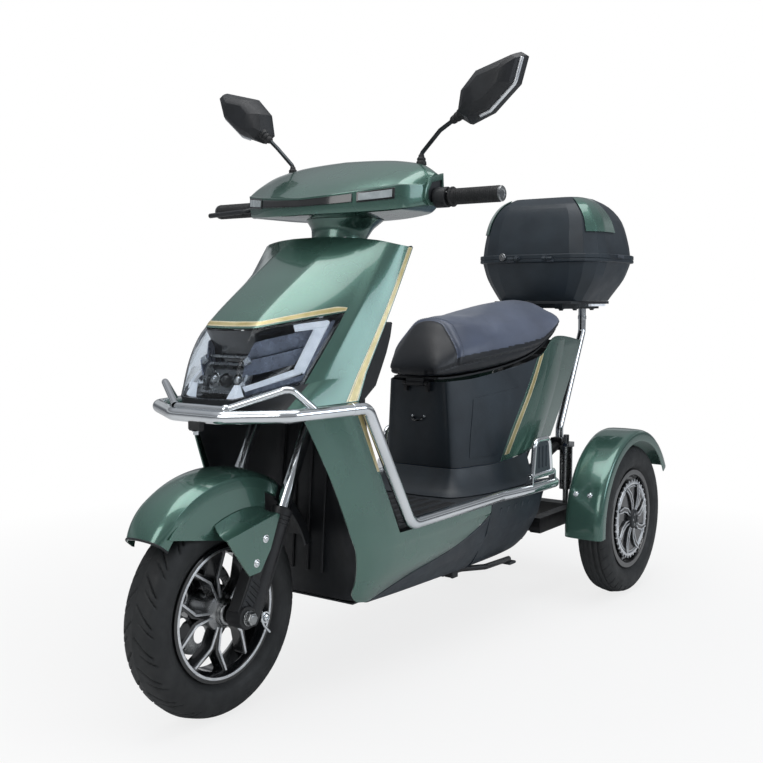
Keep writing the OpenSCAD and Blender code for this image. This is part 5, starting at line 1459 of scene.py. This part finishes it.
# Rear hub motors: toothed bright ring, curved vanes and a black cap
HUB = REAR_X, REAR_Y, WHEEL_R
for side, name in SIDES:
    c = (side * REAR_X, REAR_Y, WHEEL_R)
    hubm = Build().add(*turned(rim_profile(114), c, (side, 0, 0), 112, closed=True), 0)
    hubm.add(*turned([(-34, 15), (-34, 112), (-32, 114.5), (18, 114.5), (20, 112), (20, 104), (31, 104), (33, 102),
                      (33, 15)], c, (side, 0, 0), 112), 0)
    hubm.add(*turned([(31, 92), (34.6, 92.6), (35.4, 94), (35.4, 99), (34.6, 100.6), (31, 101.6)], c, (side, 0, 0), 112,
                     closed=True), 1)
    hubm.add(*turned([(32, 86.6), (34.4, 87), (34.4, 89.4), (32, 90)], c, (side, 0, 0), 112, closed=True), 1)
    for k in range(36):
        a0 = 2 * pi * k / 36
        o = [(-3.2, 99), (3.2, 99), (2.0, 106.6), (-2.0, 106.6)]
        hubm.add(*spun(o, 29.5, 33.8, a0, HUB, side), 1)
    vane = [(8, 22), (16, 12), (34, 34), (42, 60), (37, 88), (30, 88), (30, 62), (24, 40)]
    for k in range(8):
        a0 = 2 * pi * k / 8
        hubm.add(*spun(vane, 30, 37.5, a0, HUB, side), 0)
        for pts in ([(14, 15), (33, 36), (40, 61), (35, 89)], [(9, 20), (23, 41), (29, 62), (28, 88)]):
            hubm.add(*spun(stroke(pts, 2.8), 36.6, 39.4, a0, HUB, side), 1)
    hubm.add(*turned([(30, 28), (40, 26), (44, 24), (46, 20), (46, 11), (44, 9.6), (44, 0.1)], c, (side, 0, 0), 48), 2)
    for k in range(6):
        a0 = 2 * pi * k / 6
        hubm.add(*bolt(on_rear(side, 45.6, 15.6, a0), (side, 0, 0), 2.4), 3)
    hubm.add(*turned([(-20, 6), (0, 6), (8, 4.6), (16, 4.6), (17, 3.6), (17, 0.1)],
                     on_rear(side, 20, 112, 4.4), (side * 0.6, -cos(4.4) * 0.8, -sin(4.4) * 0.8), 16), 3)
    hubm.make("rear_hub_" + name, [GLOSS, ALLOY, BLACK, STEEL], "rear_wheel_" + name, "alloy", bevel=0.7)

# Side stand with its spring
stand = Build()
p0 = arr((108, 675, 146))
stand.add(*turned([(-10, 5.3), (-10, 11), (-9, 12), (9, 12), (10, 11), (10, 5.3)], p0, X_AXIS, 32), 0)
stand.add(*tube([p0 + (0, 8, 0), p0 + (0, 50, -2), p0 + (34, 110, -4), p0 + (34, 228, -8)], 7, 20, 20), 0)
stand.add(*slab([(213 + 675, 126), (243 + 675, 126), (245 + 675, 130), (240 + 675, 133), (216 + 675, 133),
                 (211 + 675, 130)], 0, 130, 154), 1)
coil = []
for k in lin(0, 1, 160):
    a = 2 * pi * 13 * k
    coil.append(p0 + (5 + 3.6 * cos(a), 24 + 66 * k, 12 + 3.6 * sin(a) - 6 * k))
stand.add(*tube(coil, 1.1, 0.5, 6, 40), 2)
stand.make("side_stand", [STEEL_BLACK, SOFT, STEEL], "stand", "black_steel", bevel=0.8)


# CAD nodes that keep their shape take a material, rounded edges and smooth sides
def dress(node, mat, bevel):
    ob = nodes[node]
    ob.data.materials.clear()
    ob.data.materials.append(mat)
    w = ob.modifiers.new("weld", "WELD")
    w.merge_threshold = 0.00002
    soften(ob, bevel, 2, 30)


for node, mat, bevel in (("frame", STEEL_BLACK, 0.8), ("rear_axle", STEEL_BLACK, 1.2), ("rear_shocks", STEEL, 0.6),
                         ("belly_pan", BLACK, 0.8), ("battery_pack", PACK, 3.0), ("seat_hinge", STEEL_BLACK, 0.5),
                         ("seat_pan", BLACK, 0.8), ("fork_stem", STEEL_BLACK, 1.0), ("fork_tubes", CHROME, 0.5),
                         ("handlebar", STEEL_BLACK, 0.5), ("brake_disc", STEEL, 0.4),
                         ("brake_caliper", STEEL_BLACK, 1.2)):
    dress(node, mat, bevel)
